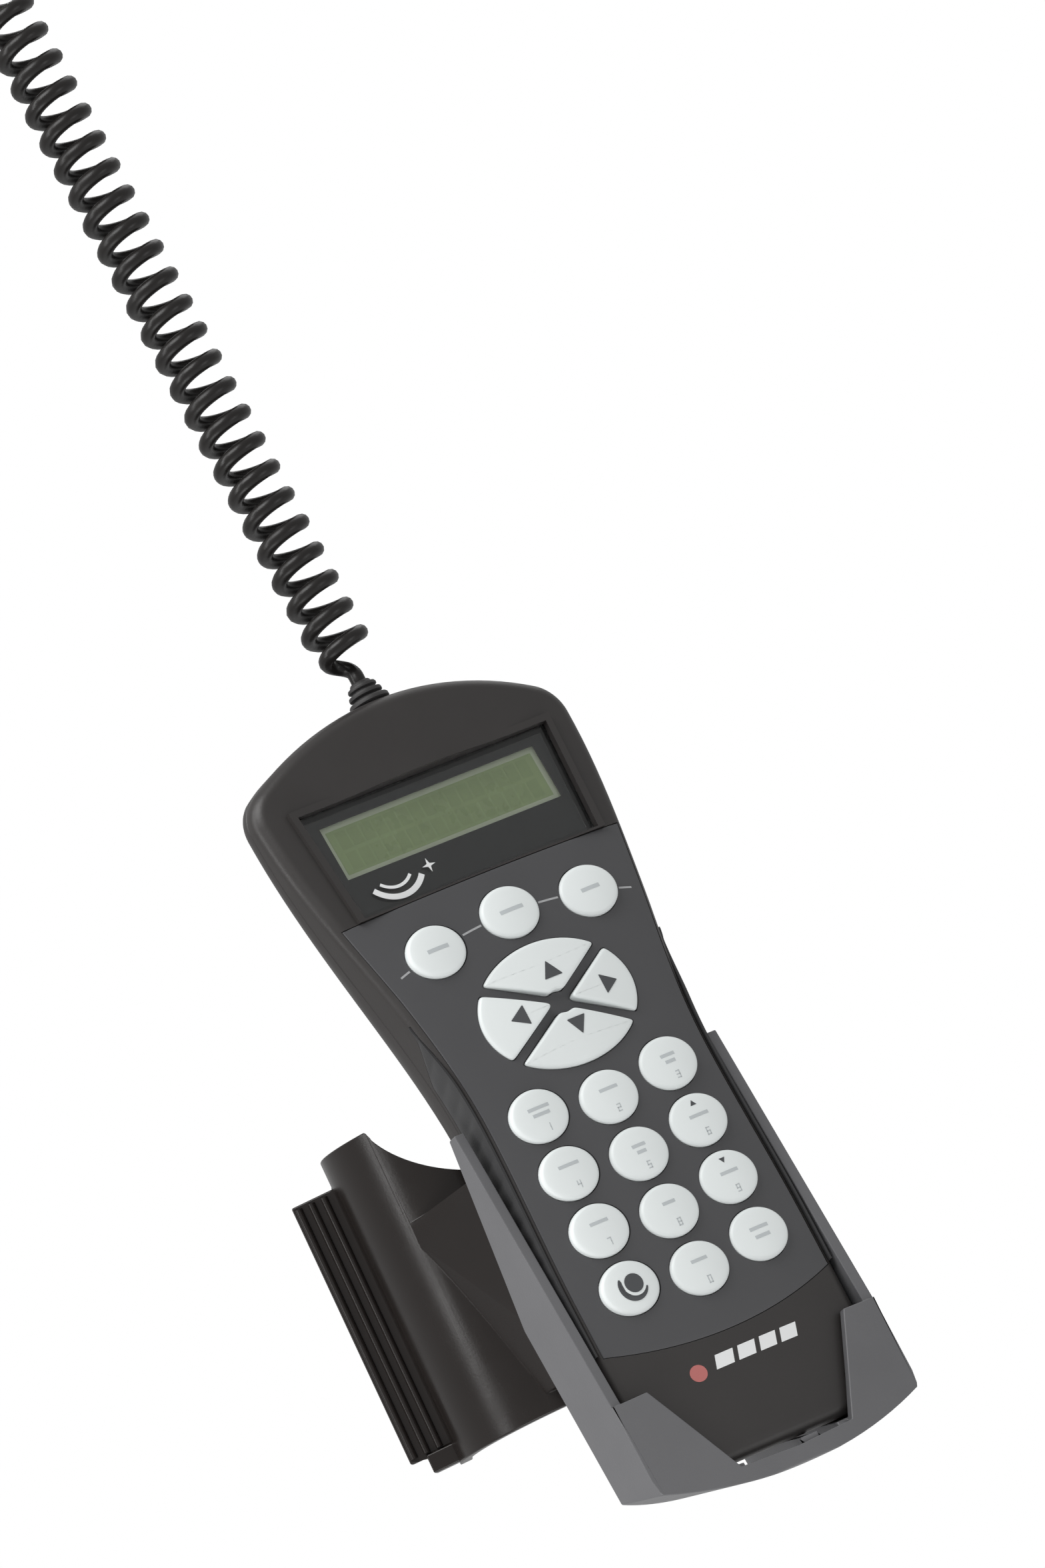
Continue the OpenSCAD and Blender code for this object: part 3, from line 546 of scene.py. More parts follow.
def soften(points, spacing, passes):
    """Spreads a closed outline's points evenly, and rounds its corners by averaging neighbours."""
    closed = points + points[:1]
    steps = [math.dist(a, b) for a, b in zip(closed, closed[1:])]
    total = sum(steps)
    count = int(total / spacing)
    spread = []
    i, gone = 0, 0.0
    for k in range(count):
        want = total * k / count
        while gone + steps[i] < want:
            gone += steps[i]
            i += 1
        t = (want - gone) / steps[i]
        spread.append((lerp(closed[i][0], closed[i + 1][0], t), lerp(closed[i][1], closed[i + 1][1], t)))
    for _ in range(passes):
        spread = [tuple((a[n] + 2 * b[n] + c[n]) / 4 for n in (0, 1))
                  for a, b, c in zip(spread[-1:] + spread[:-1], spread, spread[1:] + spread[:1])]
    return spread


def middle(points):
    return sum(p[0] for p in points) / len(points), sum(p[1] for p in points) / len(points)


def inset_loop(points, inset):
    """A smooth closed outline moved inward along its own normals."""
    moved = []
    for a, b, c in zip(points[-1:] + points[:-1], points, points[1:] + points[:1]):
        dx, dz = c[0] - a[0], c[1] - a[1]
        size = math.hypot(dx, dz) or 1.0
        moved.append((b[0] - dz / size * inset, b[1] + dx / size * inset))
    return moved


def key_cap(name, outline, foot, stem, dome, edge, flange):
    """A domed cap over its flange and stem, as one closed skin; dome(x, z) is the front's depth."""
    cx, cz = middle(outline)
    flange_front, flange_rear = 2.7, 3.5

    def ring(points, depth):
        return [(x, depth if not callable(depth) else depth(x, z), z) for x, z in points]
    stem_ring = [(stem[0] + stem[2] / 2 * math.cos(a), stem[1] + stem[3] / 2 * math.sin(a))
                 for a in [math.atan2(z - cz, x - cx) for x, z in outline]]
    wide = inset_loop(outline, -flange)
    rings = [ring(stem_ring, foot), ring(stem_ring, flange_rear + 0.1), ring(wide, flange_rear),
             ring(wide, flange_front), ring(outline, flange_front - 0.1)]
    for i in range(6):
        turn = math.pi / 2 * i / 5
        points = inset_loop(outline, edge * (1 - math.cos(turn)))
        rings.append(ring(points, lambda x, z, drop=edge * (1 - math.sin(turn)): dome(x, z) + drop))
    rim = inset_loop(outline, edge)
    for t in (0.85, 0.68, 0.5, 0.32, 0.15):
        rings.append(ring([(lerp(cx, x, t), lerp(cz, z, t)) for x, z in rim], dome))
    count = len(rings[0])
    points = [p for r in rings for p in r] + [(cx, dome(cx, cz), cz)]
    faces = [list(range(count))]
    for k in range(len(rings) - 1):
        for i in range(count):
            j = (i + 1) % count
            faces.append([k * count + i, k * count + j, (k + 1) * count + j, (k + 1) * count + i])
    last = (len(rings) - 1) * count
    faces += [[last + i, last + (i + 1) % count, len(points) - 1] for i in range(count)]
    return build_object(name, points, faces)


def round_dome(x, z):
    return KEY_DOME_R - KEY_PROUD - math.sqrt(KEY_DOME_R ** 2 - x * x - z * z)


def arrows_dome(x, z):
    return ARROWS_DOME_R - ARROWS_PROUD - math.sqrt(ARROWS_DOME_R ** 2 - x * x - z * z)


def sector_outline(direction, half_angle, grow):
    """One quarter of the arrow oval about the oval's middle, with its gap and hub."""
    gap = ARROWS_GAP / 2 - grow
    hub = ARROWS_HUB_R - grow
    w, h = ARROWS_W / 2 + grow, ARROWS_H / 2 + grow

    def edge_angle(radius_at, side):
        """Direction in which the straight edge beside the gap meets a curve of that radius."""
        apex = gap / math.sin(half_angle)
        near, far = 0.0, 60.0
        for _ in range(40):
            reach = (near + far) / 2
            x, z = apex + reach * math.cos(half_angle), side * reach * math.sin(half_angle)
            angle = math.atan2(z, x) + direction
            if math.hypot(x, z) < radius_at(angle):
                near = reach
            else:
                far = reach
        return angle

    def oval_radius(angle):
        return 1 / math.hypot(math.cos(angle) / w, math.sin(angle) / h)

    def hub_radius(_):
        return hub
    outer0, outer1 = edge_angle(oval_radius, -1), edge_angle(oval_radius, 1)
    inner0, inner1 = edge_angle(hub_radius, -1), edge_angle(hub_radius, 1)
    rim = [lerp(outer0, outer1, i / 30) for i in range(31)]
    core = [lerp(inner1, inner0, i / 8) for i in range(9)]
    points = [(oval_radius(a) * math.cos(a), oval_radius(a) * math.sin(a)) for a in rim]
    points += [(hub * math.cos(a), hub * math.sin(a)) for a in core]
    return soften(points, 0.45, 5)


ROUND_KEYS = [("key_align", -22.4, 59.0), ("key_enter", 0.0, 61.1), ("key_back", 22.4, 59.0)]
PAD_KEYS = (("key_1", "key_2", "key_3"), ("key_4", "key_5", "key_6"), ("key_7", "key_8", "key_9"),
            ("key_option", "key_0", "key_speed"))
for row, names in enumerate(PAD_KEYS):
    for column, key_name in enumerate(names):
        key_z = PAD_TOP_Z - row * PAD_DZ + (0 if column == 1 else PAD_SIDE_STEP)
        ROUND_KEYS.append((key_name, (column - 1) * PAD_DX, key_z))
ARROW_KEYS = [("key_right", 0.0, ARROWS_ANGLE), ("key_up", math.pi / 2, math.pi / 2 - ARROWS_ANGLE),
              ("key_left", math.pi, ARROWS_ANGLE), ("key_down", -math.pi / 2, math.pi / 2 - ARROWS_ANGLE)]
ARROW_MARKS = {"key_up": (1.0, 8.0), "key_right": (14.3, 0.0), "key_left": (-12.2, 0.0),
               "key_down": (1.0, -7.0)}
ARROWS_PLACE = Matrix.Translation(Vector((0, FACE_Y, ARROWS_Z)) * MM)


def key_hole_cutters():
    cutters = []
    for _, x, z in ROUND_KEYS:
        hole = prism("hole", oval(KEY_W + 2 * KEY_GAP, KEY_H + 2 * KEY_GAP), -6, 6, "y")
        hole.data.transform(upper_tilt(x, z))
        cutters.append(hole)
    for _, direction, half_angle in ARROW_KEYS:
        hole = prism("hole", sector_outline(direction, half_angle, KEY_GAP), -6, 7, "y")
        hole.data.transform(ARROWS_PLACE)
        cutters.append(hole)
    return merge(cutters)


# ---------------------------------------------------------------- printed marks
def on_key(dome, lift=PRINT_LIFT):
    """Lays a flat mark, given in a key's X and Z, on the key's dome."""
    return lambda x, z: (x, dome(x, z) - lift, z)


def thin_mark(name, loops, place):
    """A printed mark: flat outlines filled, laid by place(x, z), and given the thickness of the print."""
    shape = bmesh.new()
    for loop in loops:
        front = [shape.verts.new(Vector(place(x, z)) * MM) for x, z in loop]
        back = [shape.verts.new((v.co.x, v.co.y + PRINT_T * MM, v.co.z)) for v in front]
        count = len(front)
        for i in range(count):
            j = (i + 1) % count
            shape.faces.new((front[i], front[j], back[j], back[i]))
        for ends in (front, back[::-1]):
            shape.faces.new(ends)
    bmesh.ops.triangulate(shape, faces=[f for f in shape.faces if len(f.verts) > 4])
    bmesh.ops.recalc_face_normals(shape, faces=shape.faces)
    mesh = bpy.data.meshes.new(name)
    shape.to_mesh(mesh)
    shape.free()
    thing = bpy.data.objects.new(name, mesh)
    bpy.context.scene.collection.objects.link(thing)
    return thing


def strip(points, width):
    """The outline of a band of even width along a line of points."""
    sides = []
    for side in (1, -1):
        row = []
        for i, (x, z) in enumerate(points):
            a, b = points[max(0, i - 1)], points[min(len(points) - 1, i + 1)]
            dx, dz = b[0] - a[0], b[1] - a[1]
            reach = side * width / 2 / math.hypot(dx, dz)
            row.append((x - dz * reach, z + dx * reach))
        sides.append(row)
    return sides[0] + sides[1][::-1]


def bar(x0, x1, z, width):
    return strip([(lerp(x0, x1, i / 8), z) for i in range(9)], width)


# Seven short strokes make the plain numerals: top, upper sides, middle, lower sides, bottom
STROKES = {
    "t": ((-1, 2), (1, 2)), "a": ((-1, 0), (-1, 2)), "b": ((1, 0), (1, 2)), "m": ((-1, 0), (1, 0)),
    "c": ((-1, -2), (-1, 0)), "d": ((1, -2), (1, 0)), "u": ((-1, -2), (1, -2)),
}
NUMERALS = {"0": "tabcdu", "1": "bd", "2": "tbmcu", "3": "tbmdu", "4": "abmd", "5": "tamdu", "6": "tamcdu",
            "7": "tbd", "8": "tabmcdu", "9": "tabmdu"}


def numeral(digit, x, z, size=0.42, width=0.26):
    loops = []
    for stroke in NUMERALS[digit]:
        (x0, z0), (x1, z1) = STROKES[stroke]
        reach = width / 2
        dx, dz = (reach, 0) if z0 == z1 else (0, reach)
        line = [(x + x0 * size - dx, z + z0 * size - dz), (x + x1 * size + dx, z + z1 * size + dz)]
        (xa, za), (xb, zb) = line
        loops.append(strip([(lerp(xa, xb, i / 3), lerp(za, zb, i / 3)) for i in range(4)], width))
    return loops


def key_legends(name):
    """Grey word bars and a numeral for a key, each a list of outlines, with its print."""
    if name in ("key_align", "key_enter", "key_back"):
        half = {"key_align": 3.0, "key_enter": 3.3, "key_back": 2.6}[name]
        return [("key_print", [bar(-half, half, 0.1, 1.0)])]
    if name == "key_option":
        disc = [(0.7 + x, 0.5 + z) for x, z in oval(5.0, 4.8, 32)]
        moon = arc((0.2, 0.0), 3.9, math.radians(140), math.radians(340), 24)
        inner = arc((0.6, 0.45), 3.55, math.radians(340), math.radians(140), 24)
        return [("dark_print", [disc]), ("dark_print", [moon + inner[1:-1]])]
    marks = []
    if name == "key_speed":
        return [("key_print", [bar(-2.6, 2.6, 1.3, 0.9), bar(-2.1, 2.1, -0.9, 0.9)])]
    digit = name[-1]
    widths = {"1": (3.0, 2.4), "2": (2.6, 0), "3": (2.0, 1.4), "4": (2.9, 0), "5": (1.9, 1.3), "6": (2.7, 0),
              "7": (2.6, 0), "8": (1.8, 0), "9": (2.5, 0), "0": (2.3, 0)}[digit]
    top = 1.7 if digit not in "69" else 0.9
    bars = [bar(-widths[0], widths[0], top, 0.85)]
    if widths[1]:
        bars.append(bar(-widths[1], widths[1], top - 1.7, 0.85))
    marks.append(("key_print", bars))
    marks.append(("key_print", numeral(digit, 0.4, -3.6)))
    if digit in "69":
        up = 1 if digit == "6" else -1
        foot_z, tip_z = 4.1 - 0.6 * up, 4.1 + 0.8 * up
        marks.append(("dark_print", [[(-0.85, foot_z), (0.85, foot_z), (0, tip_z)][::up]]))
    return marks


def add_keys():
    for name, x, z in ROUND_KEYS:
        place = upper_tilt(x, z)
        stem = (0, 0, KEY_W - STEM_INSET, KEY_H - STEM_INSET)
        foot = STEM_END_Y - key_front(x, z)
        cap = key_cap(name + "_cap", oval(KEY_W, KEY_H, 72), foot, stem, round_dome, 0.9, 0.8)
        cap.data.transform(place)
        smooth(cap, 40)
        dress(cap, "key", name + "_cap", [name])
        lift = DISC_LIFT if name == "key_option" else PRINT_LIFT
        for i, (print_name, loops) in enumerate(key_legends(name)):
            mark = thin_mark(f"{name}_mark_{i}", loops, on_key(round_dome, lift))
            mark.data.transform(place)
            dress(mark, print_name, name + "_cap")
    for name, direction, half_angle in ARROW_KEYS:
        outline = sector_outline(direction, half_angle, 0)
        stem = (14 * math.cos(direction), 9.5 * math.sin(direction), 7, 6)
        cap = key_cap(name + "_cap", outline, STEM_END_Y - FACE_Y, stem, arrows_dome, 0.8, 0.7)
        cap.data.transform(ARROWS_PLACE)
        smooth(cap, 40)
        dress(cap, "key", name + "_cap", [name])
        centre = Vector(ARROW_MARKS[name])
        out = Vector((math.cos(direction), math.sin(direction)))
        across = Vector((-math.sin(direction), math.cos(direction)))
        base, height = 5.2, 4.4
        tip = centre + out * height * 0.55
        foot = centre - out * height * 0.45
        corners = [tip, foot + across * base / 2, foot - across * base / 2]
        loop = soften([tuple(c) for c in corners], 0.25, 1)
        mark = thin_mark(name + "_mark", [loop], on_key(arrows_dome, ARROW_LIFT))
        mark.data.transform(ARROWS_PLACE)
        dress(mark, "dark_print", name + "_cap")


# ---------------------------------------------------------------- casing pieces
def window_outline(edge):
    (z0, z1), (w0, w1) = [(v - BEND_Z) for v in WINDOW_Z], WINDOW_HALF
    return [(-w0 - edge, z0 - edge), (w0 + edge, z0 - edge), (w1 + edge, z1 + edge), (-w1 - edge, z1 + edge)]


UPPER_FACE = Matrix.Translation(Vector((0, FACE_Y, BEND_Z)) * MM) @ Matrix.Rotation(-FACE_TILT, 4, "X")


def upper_prism(name, rings, bevel=0.0):
    """A skin over window-shaped rings given as (growth, depth), in the upper face's own plane."""
    levels = [[(x, depth, z) for x, z in window_outline(edge)] for edge, depth in rings]
    thing = loft(name, levels, True, True)
    round_edges(thing, bevel)
    thing.data.transform(UPPER_FACE)
    return thing


GRIP_Z = (-46.0, 45.0)


def grip_edges(z, grow):
    """Front and rear depth of the grip's outline at a height, grown by grow."""
    front = lerp(-84.2, -82.2, ease((z - 26) / 19))
    rear = lerp(-74.7, -75.0, (z + 46) / 80) if z < 30 else lerp(-75.0, -82.2, ease((z - 30) / 15) ** 0.8)
    return front - grow, max(rear, front + 0.4) + grow


def grip_solid(name, side, grow, outside, inside, ribs):
    """The strip of the flank inside the grip's outline, between two depths, ribbed if asked."""
    rows, columns = 182, 8
    z0, z1 = GRIP_Z[0] - grow, GRIP_Z[1] + grow

    def skin(base, ribbed):
        grid = []
        for i in range(rows + 1):
            z = lerp(z0, z1, i / rows)
            front, rear = grip_edges(z, grow)
            line = []
            for j in range(columns + 1):
                y = lerp(front, rear, j / columns)
                lift = 0.0
                if ribbed:
                    wave = 0.5 + 0.5 * math.cos(2 * math.pi * (z + 0.35 * (y - front)) / 5.5)
                    edge = min(1.0, 6 * min(j, columns - j) / columns)
                    lift = 0.28 * wave ** 0.5 * edge
                line.append((side * (half_width(z) + base + lift), y, z))
            grid.append(line)
        return grid
    outer, inner = skin(outside, ribs), skin(-inside, False)
    width = columns + 1
    points = [p for grid in (outer, inner) for line in grid for p in line]
    shift = (rows + 1) * width
    faces = []
    for i in range(rows):
        for j in range(columns):
            a = i * width + j
            faces.append([a, a + 1, a + width + 1, a + width])
            faces.append([shift + a, shift + a + width, shift + a + width + 1, shift + a + 1])
        for j in (0, columns):
            a = i * width + j
            faces.append([a, a + width, shift + a + width, shift + a])
    for i in (0, rows):
        for j in range(columns):
            a = i * width + j
            faces.append([a, a + 1, shift + a + 1, shift + a])
    return build_object(name, points, faces)


def posts(places, radius, low, high):
    """Round posts or holes on both sides; each depth is a number or a rule of x and z."""
    made = []
    for x, z in places:
        for side in (-1, 1):
            ring = [(side * x + px, z + pz) for px, pz in oval(2 * radius, 2 * radius, 40)]
            ends = [end(x, z) if callable(end) else end for end in (low, high)]
            made.append(prism("post", ring, ends[0], ends[1], "y"))
    return made


def under_face(x, z):
    return face_y(x, z) + WALL / 2


def under_back(x, z):
    return back_y(x + 4, z - 4) - WALL / 2


BOARD_Y = -76.9
BOARD_SCREWS = ((26.0, -60.0), (31.0, 68.5))
CASE_SCREWS = ((27.0, -69.0), (25.0, 113.0))
SCREW_SEATS = (-69.0, -66.0)


def cord_hole():
    ring = [(x, CORD_Y + y) for x, y in oval(2 * CORD_HOLE_R, 2 * CORD_HOLE_R, 48)]
    return prism("hole", ring, 110, 130, "z")


def port_hole():
    return block("hole", (-6.3, -75.6, -84), (6.3, -63.2, -74))


def add_front_shell():
    shell = front_shell_body()
    collar = upper_prism("collar", [(1.8, 1.2), (1.8, STACK_DEPTH)])
    combine(shell, collar, "UNION")
    board_posts = posts(BOARD_SCREWS, 2.4, under_face, BOARD_Y)
    combine(shell, merge(board_posts + posts(CASE_SCREWS, 3.2, under_face, SEAM_Y)), "UNION")
    combine(shell, upper_prism("opening", [(1.2, -5), (0.45, -0.2), (0.0, 0.55), (0.0, STACK_DEPTH + 1)]))
    combine(shell, panel_plate("recess", 0.12, -4, PANEL_T + 0.05, 0))
    combine(shell, key_hole_cutters())
    combine(shell, merge([grip_solid("pocket", side, 0.12, 2.0, 0.7, False) for side in (-1, 1)]))
    pilots = posts(BOARD_SCREWS, 1.05, -81.0, -76) + posts(CASE_SCREWS, 1.35, -78.0, SEAM_Y + 1)
    combine(shell, merge(pilots + [cord_hole(), port_hole()]))
    even_normals(shell)
    return dress(shell, "casing_front", "handset", ["front_shell"])


def add_rear_shell():
    shell = rear_shell_body()
    combine(shell, merge(posts(CASE_SCREWS, 4.3, SEAM_Y, under_back)), "UNION")
    combine(shell, merge(posts(CASE_SCREWS, 1.6, SEAM_Y - 1, SCREW_SEATS[0] + 0.5)))
    wells = [posts([place], 3.0, seat, -40) for place, seat in zip(CASE_SCREWS, SCREW_SEATS)]
    combine(shell, merge(wells[0] + wells[1]))
    combine(shell, merge([cord_hole(), port_hole()]))
    even_normals(shell)
    return dress(shell, "casing_rear", "handset", ["rear_shell"])


def add_panel():
    panel = panel_plate("keypad_panel_film", 0.0, 0.0, PANEL_T, 0.25)
    combine(panel, key_hole_cutters())
    even_normals(panel)
    dress(panel, "panel", "handset", ["keypad_panel"])

    def line_z(x):
        return 61.1 - 2.1 * (x / 22.4) ** 2

    def place(x, z):
        return x, panel_y(x, z) - 0.03, z
    spans = [(-33.6, -30.8), (-14.0, -8.4), (8.4, 14.0), (30.8, 34.2)]
    loops = []
    for a, b in spans:
        stations = [lerp(a, b, i / 10) for i in range(11)]
        loops.append(strip([(x, line_z(x)) for x in stations], 0.5))
    dress(thin_mark("panel_line", loops, place), "line_print", "handset")


def add_grips():
    for side, name in ((-1, "left_grip"), (1, "right_grip")):
        grip = smooth(grip_solid(name + "_ribbed", side, 0, 0.0, 0.62, True), 50)
        dress(grip, "grip", "handset", [name])


def add_front_marks():
    def on_casing(x, z):
        return x, face_y(x, z) - 0.03, z
    dot = thin_mark("foot_dot", [[(x - 13.4, z - 59.5) for x, z in oval(4.6, 4.2, 32)]], on_casing)
    dress(dot, "red_print", "handset")
    bars = [(-8.6, -3.4), (-2.0, 3.0), (4.4, 9.2), (10.6, 15.4)]
    slant = 0.35
    loops = []
    for x0, x1 in bars:
        for half in (0, 1):
            a, b = lerp(x0, x1, half / 2), lerp(x0, x1, (half + 1) / 2)
            loops.append([(a, -60.4), (b, -60.4), (b + slant * 3.4, -57.0), (a + slant * 3.4, -57.0)])
    dress(thin_mark("foot_bars", loops, on_casing), "white_print", "handset")


def add_display():
    """The liquid crystal field with its pale border and two rows of faint character cells."""
    def lcd(name, w, h, depth, thickness):
        cx, cz = 0.0, LCD_Z - BEND_Z
        low, high = (cx - w / 2, depth, cz - h / 2), (cx + w / 2, depth + thickness, cz + h / 2)
        thing = block(name, low, high, 0.08, 2)
        thing.data.transform(UPPER_FACE)
        return thing
    glass = lcd("display_field_border", 72.6, 24.0, STACK_DEPTH + 0.5, 1.2)
    dress(glass, "lcd_border", "handset", ["display_glass"])
    field = lcd("display_field", 60.4, 11.9, STACK_DEPTH + 0.44, 0.08)
    dress(field, "lcd", "handset")
    cells = []
    for line in (-1, 1):
        for i in range(16):
            x = (i - 7.5) * CELL_PITCH
            z = LCD_Z - BEND_Z + line * CELL_ROW
            low = (x - CELL_HALF_W, STACK_DEPTH + 0.41, z - CELL_HALF_H)
            high = (x + CELL_HALF_W, STACK_DEPTH + 0.46, z + CELL_HALF_H)
            cells.append(block("cell", low, high))
    cells = merge(cells)
    cells.name = "display_cells"
    cells.data.transform(UPPER_FACE)
    dress(cells, "lcd_cell", "handset")

    def on_pane(x, z):
        return tuple(UPPER_FACE @ (Vector((x, PANE_DEPTH - 0.03, z - BEND_Z)) * MM) / MM)
    sweep = strip(arc((-20.5, 84.5), 8.6, math.radians(215), math.radians(322), 20), 1.5)
    sweep2 = strip(arc((-20.8, 84.4), 5.9, math.radians(222), math.radians(316), 20), 0.8)
    star = []
    for i in range(8):
        reach = 1.9 if i % 2 == 0 else 0.55
        star.append((-10.8 + reach * math.cos(i * math.pi / 4), 80.6 + reach * math.sin(i * math.pi / 4)))
    emblem = thin_mark("window_emblem", [sweep, sweep2, star], on_pane)
    dress(emblem, "white_print", "handset")


# ---------------------------------------------------------------- cord and strain relief
def tube(name, path, radius, sides=10, caps=True):
    """A round tube along a path, with a frame carried along it so that it doesn't twist."""
    points = [Vector(p) for p in path]
    rings = []
    across = Vector((1, 0, 0))
    for i, p in enumerate(points):
        along = (points[min(i + 1, len(points) - 1)] - points[max(i - 1, 0)]).normalized()
        across = (across - along * across.dot(along)).normalized()
        other = along.cross(across)
        rings.append([tuple(p + (across * math.cos(a) + other * math.sin(a)) * radius)
                      for a in circle_angles(sides)])
    return smooth(loft(name, rings, caps, caps), 60)


def lead_in(u):
    """Height climbed at a share of the way from the cord's axis out to the helix."""
    slow = COIL_PITCH * LEAD_IN_TURNS
    return slow * u + (LEAD_IN_RATE - slow) * (u - u ** 3 + u ** 4 / 2)


def cord_path():
    """Up out of the strain relief, out to the helix, round it, back to the middle and up to the plug."""
    per_turn, lead_steps = 24, 16
    low, high = CORD_Z[0] + lead_in(1), CORD_Z[1] - lead_in(1)
    stations = []
    for i in range(lead_steps):
        u = i / lead_steps
        stations.append((ease(u), LEAD_IN_TURNS * u, CORD_Z[0] + lead_in(u)))
    steps = int(COIL_TURNS * per_turn)
    for i in range(steps + 1):
        stations.append((1.0, LEAD_IN_TURNS + COIL_TURNS * i / steps, lerp(low, high, i / steps)))
    for i in range(1, lead_steps + 1):
        u = 1 - i / lead_steps
        stations.append((ease(u), 2 * LEAD_IN_TURNS + COIL_TURNS - LEAD_IN_TURNS * u, CORD_Z[1] - lead_in(u)))
    turn = [(COIL_R * share, 2 * math.pi * turns + 0.6, z) for share, turns, z in stations]
    path = [(radius * math.cos(angle), CORD_Y + radius * math.sin(angle), z) for radius, angle, z in turn]
    return [(0, CORD_Y, 130)] + path + [(0, CORD_Y, 328)]


def add_cord():
    path = cord_path()
    cord = tube("curly_cord", path, CORD_D / 2, 12)
    dress(cord, "cord", "handset", ["cord_lead", "cord_coil", "cord_tail"])
    relief = add_relief()
    for node, material in (("cord_plug", "plug"), ("plug_contacts", "gold")):
        NODES[node].data.materials.clear()
        NODES[node].data.materials.append(M[material])


def lathe(name, profile, centre_y, sides=64):
    """A turned shape about the cord's axis, from (radius, height) points."""
    turns = circle_angles(sides)
    rings = [[(r * math.cos(a), centre_y + r * math.sin(a), z) for a in turns] for r, z in profile]
    return loft(name, rings, True, True)


def add_relief():
    profile = [(5.3, 117.0), (5.6, 117.3), (5.6, 120.3), (5.3, 120.6), (4.0, 120.6), (4.0, 123.9),
               (4.9, 123.9), (5.2, 124.2), (5.15, 125.0), (4.9, 125.3), (3.7, 125.6), (3.55, 125.9),
               (3.9, 126.1), (4.3, 126.3), (4.35, 126.8), (4.2, 127.2), (3.3, 127.5), (3.15, 127.8),
               (3.4, 128.0), (3.7, 128.2), (3.75, 128.6), (3.55, 129.0), (2.9, 129.2),
               (2.75, 129.5), (2.6, 129.8), (2.4, 130.0)]
    relief = smooth(lathe("strain_relief_boot", profile, CORD_Y), 40)
    return dress(relief, "relief", "handset", ["strain_relief"])


# ---------------------------------------------------------------- holder
def softened(node, name, width, material, body):
    """A CAD part with its edges rounded over, as a moulding's are."""
    shape = bmesh.new()
    shape.from_mesh(NODES[node].data)
    bmesh.ops.remove_doubles(shape, verts=shape.verts, dist=0.00004)
    bmesh.ops.dissolve_limit(shape, angle_limit=math.radians(0.6), verts=shape.verts, edges=shape.edges,
                             delimit=set())
    sharp = []
    for edge in shape.edges:
        length = edge.calc_length()
        room = min([face.calc_area() / length for face in edge.link_faces] + [length])
        if edge.is_manifold and edge.calc_face_angle(0) > math.radians(24) and room > 3 * width * MM:
            sharp.append(edge)
    bmesh.ops.bevel(shape, geom=sharp, offset=width * MM, segments=3, profile=0.5, affect="EDGES",
                    clamp_overlap=False)
    mesh = bpy.data.meshes.new(name)
    shape.to_mesh(mesh)
    shape.free()
    thing = bpy.data.objects.new(name, mesh)
    bpy.context.scene.collection.objects.link(thing)
    even_normals(thing, 35)
    return dress(thing, material, body, [node])


# ---------------------------------------------------------------- CAD nodes that stay
STAYING = {
    "display_window": "pane", "window_gasket": "foam", "display_mask": "mask", "display_frame": "steel",
    "display_backlight": "diffuser", "display_board": "board", "display_ribbon": "ribbon",
    "keypad_web": "web",
    "main_board": "board", "switch_domes": "dome_steel", "key_lights": "red_light", "processor_chip": "chip",
    "memory_chip": "chip", "cord_header": "nylon", "inner_lead": "cord", "data_port": "port",
    "case_screws": "screw", "board_screws": "screw",
}


def dress_staying_nodes():
    for node, material in STAYING.items():
        NODES[node].data.materials.clear()
        NODES[node].data.materials.append(M[material])
        smooth(NODES[node], 30)


# ---------------------------------------------------------------- camera, light, floor
VIEW_RIGHT = Vector((0.809, -0.364, -0.460))
VIEW_BACK = Vector((-0.492, -0.848, -0.194)).normalized()
VIEW_TARGET = Vector((0.0183, -0.0885, 0.0886))
VIEW_DISTANCE = 3.24
VIEW_LENS = 310.6
LIGHT_UP = Vector((0.263, -0.475, 0.839)).normalized()
FLOOR_Z = -0.75
FLOOR_HALF_W = 12000
ROOM_LIGHT = 0.52


def add_camera():
    up = VIEW_BACK.cross(VIEW_RIGHT).normalized()
    right = up.cross(VIEW_BACK)
    data = bpy.data.cameras.new("photo_camera")
    data.sensor_width = 36
    data.lens = VIEW_LENS
    camera = bpy.data.objects.new("photo_camera", data)
    bpy.context.scene.collection.objects.link(camera)
    camera.matrix_world = Matrix.Translation(VIEW_TARGET + VIEW_BACK * VIEW_DISTANCE) \
        @ Matrix((right, up, VIEW_BACK)).transposed().to_4x4()
    bpy.context.scene.camera = camera


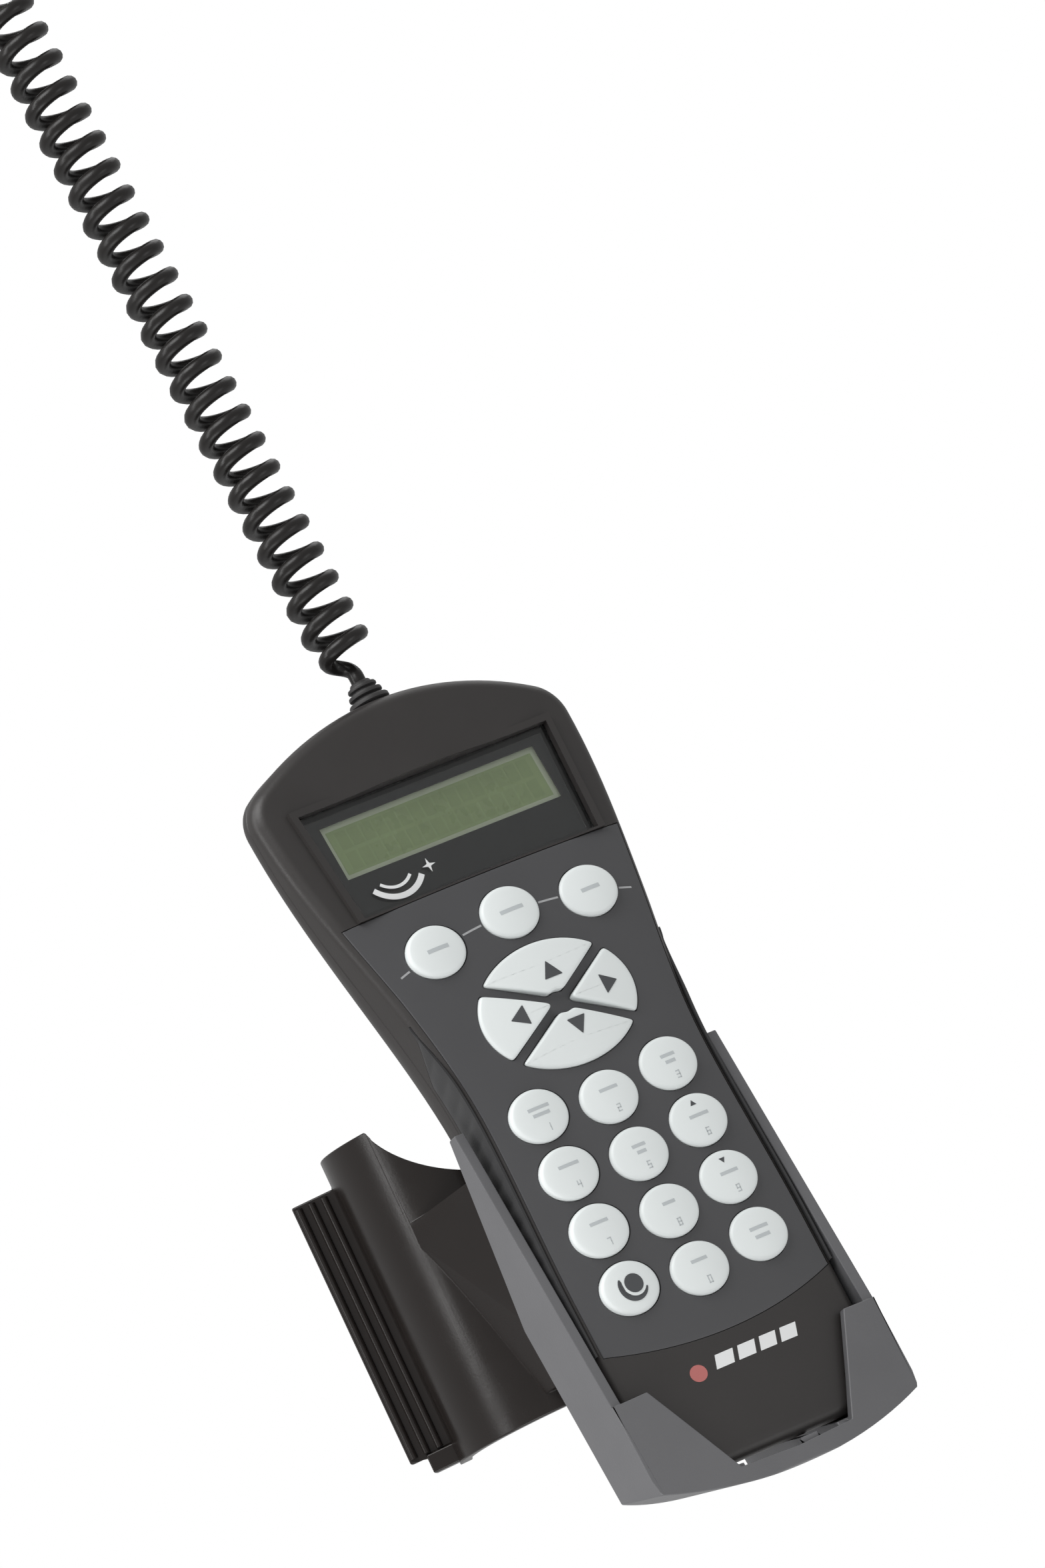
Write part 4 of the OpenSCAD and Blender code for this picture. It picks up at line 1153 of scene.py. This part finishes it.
def add_area(name, direction, distance, size, power, colour=(1, 1, 1)):
    data = bpy.data.lights.new(name, "AREA")
    data.shape = "RECTANGLE"
    data.size, data.size_y = size
    data.energy = power
    data.color = colour
    light = bpy.data.objects.new(name, data)
    bpy.context.scene.collection.objects.link(light)
    away = direction.normalized()
    light.location = Vector((0, -0.06, 0.03)) + away * distance
    light.rotation_mode = "QUATERNION"
    light.rotation_quaternion = away.to_track_quat("Z", "Y")


def add_studio():
    """White surroundings that light softly, and softboxes above, beside and behind."""
    world = bpy.data.worlds.new("studio")
    world.use_nodes = True
    nodes, links = world.node_tree.nodes, world.node_tree.links
    background = nodes["Background"]
    background.inputs["Color"].default_value = (1, 1, 1, 1)
    seen = nodes.new("ShaderNodeLightPath").outputs["Is Camera Ray"]
    links.new(remap(nodes, links, seen, 0, 1, ROOM_LIGHT, 1.0), background.inputs["Strength"])
    bpy.context.scene.world = world
    bpy.context.scene.view_settings.view_transform = "Standard"
    side = VIEW_BACK.cross(LIGHT_UP).normalized()
    add_area("key_softbox", VIEW_BACK * 0.55 + LIGHT_UP * 1.0 + side * 0.9, 1.5, (0.9, 0.9), 15)
    add_area("fill_softbox", VIEW_BACK * 0.8 + LIGHT_UP * 0.1 - side * 1.1, 1.8, (0.7, 1.4), 5.5)
    add_area("left_strip", VIEW_BACK * 0.35 + LIGHT_UP * 0.15 + side * 1.3, 1.2, (0.25, 1.3), 6)
    add_area("foot_softbox", VIEW_BACK * 0.6 - LIGHT_UP * 0.75 + side * 0.1, 0.5, (0.3, 0.3), 0.9)
    add_area("back_softbox", -VIEW_BACK * 0.7 + LIGHT_UP * 0.9, 1.9, (1.4, 1.4), 6)
    half = FLOOR_HALF_W
    corners = [(-half, -half, 0), (half, -half, 0), (half, half, 0), (-half, half, 0)]
    floor = build_object("floor", corners, [[0, 1, 2, 3]])
    floor.data.transform(Matrix.Translation((0, 0, FLOOR_Z)))
    floor.data.materials.append(surface("floor_paper", (0.92, 0.92, 0.92), 0.7, 300, 0.0001, variation=0.01))


add_camera()
add_cord()
add_front_shell()
add_rear_shell()
add_panel()
add_grips()
add_keys()
add_front_marks()
add_display()
softened("cradle", "cradle_moulding", 0.35, "cradle", "cradle_tray")
softened("leg_clamp", "clamp_moulding", 0.45, "clamp", "clamp")
dress_staying_nodes()
add_studio()
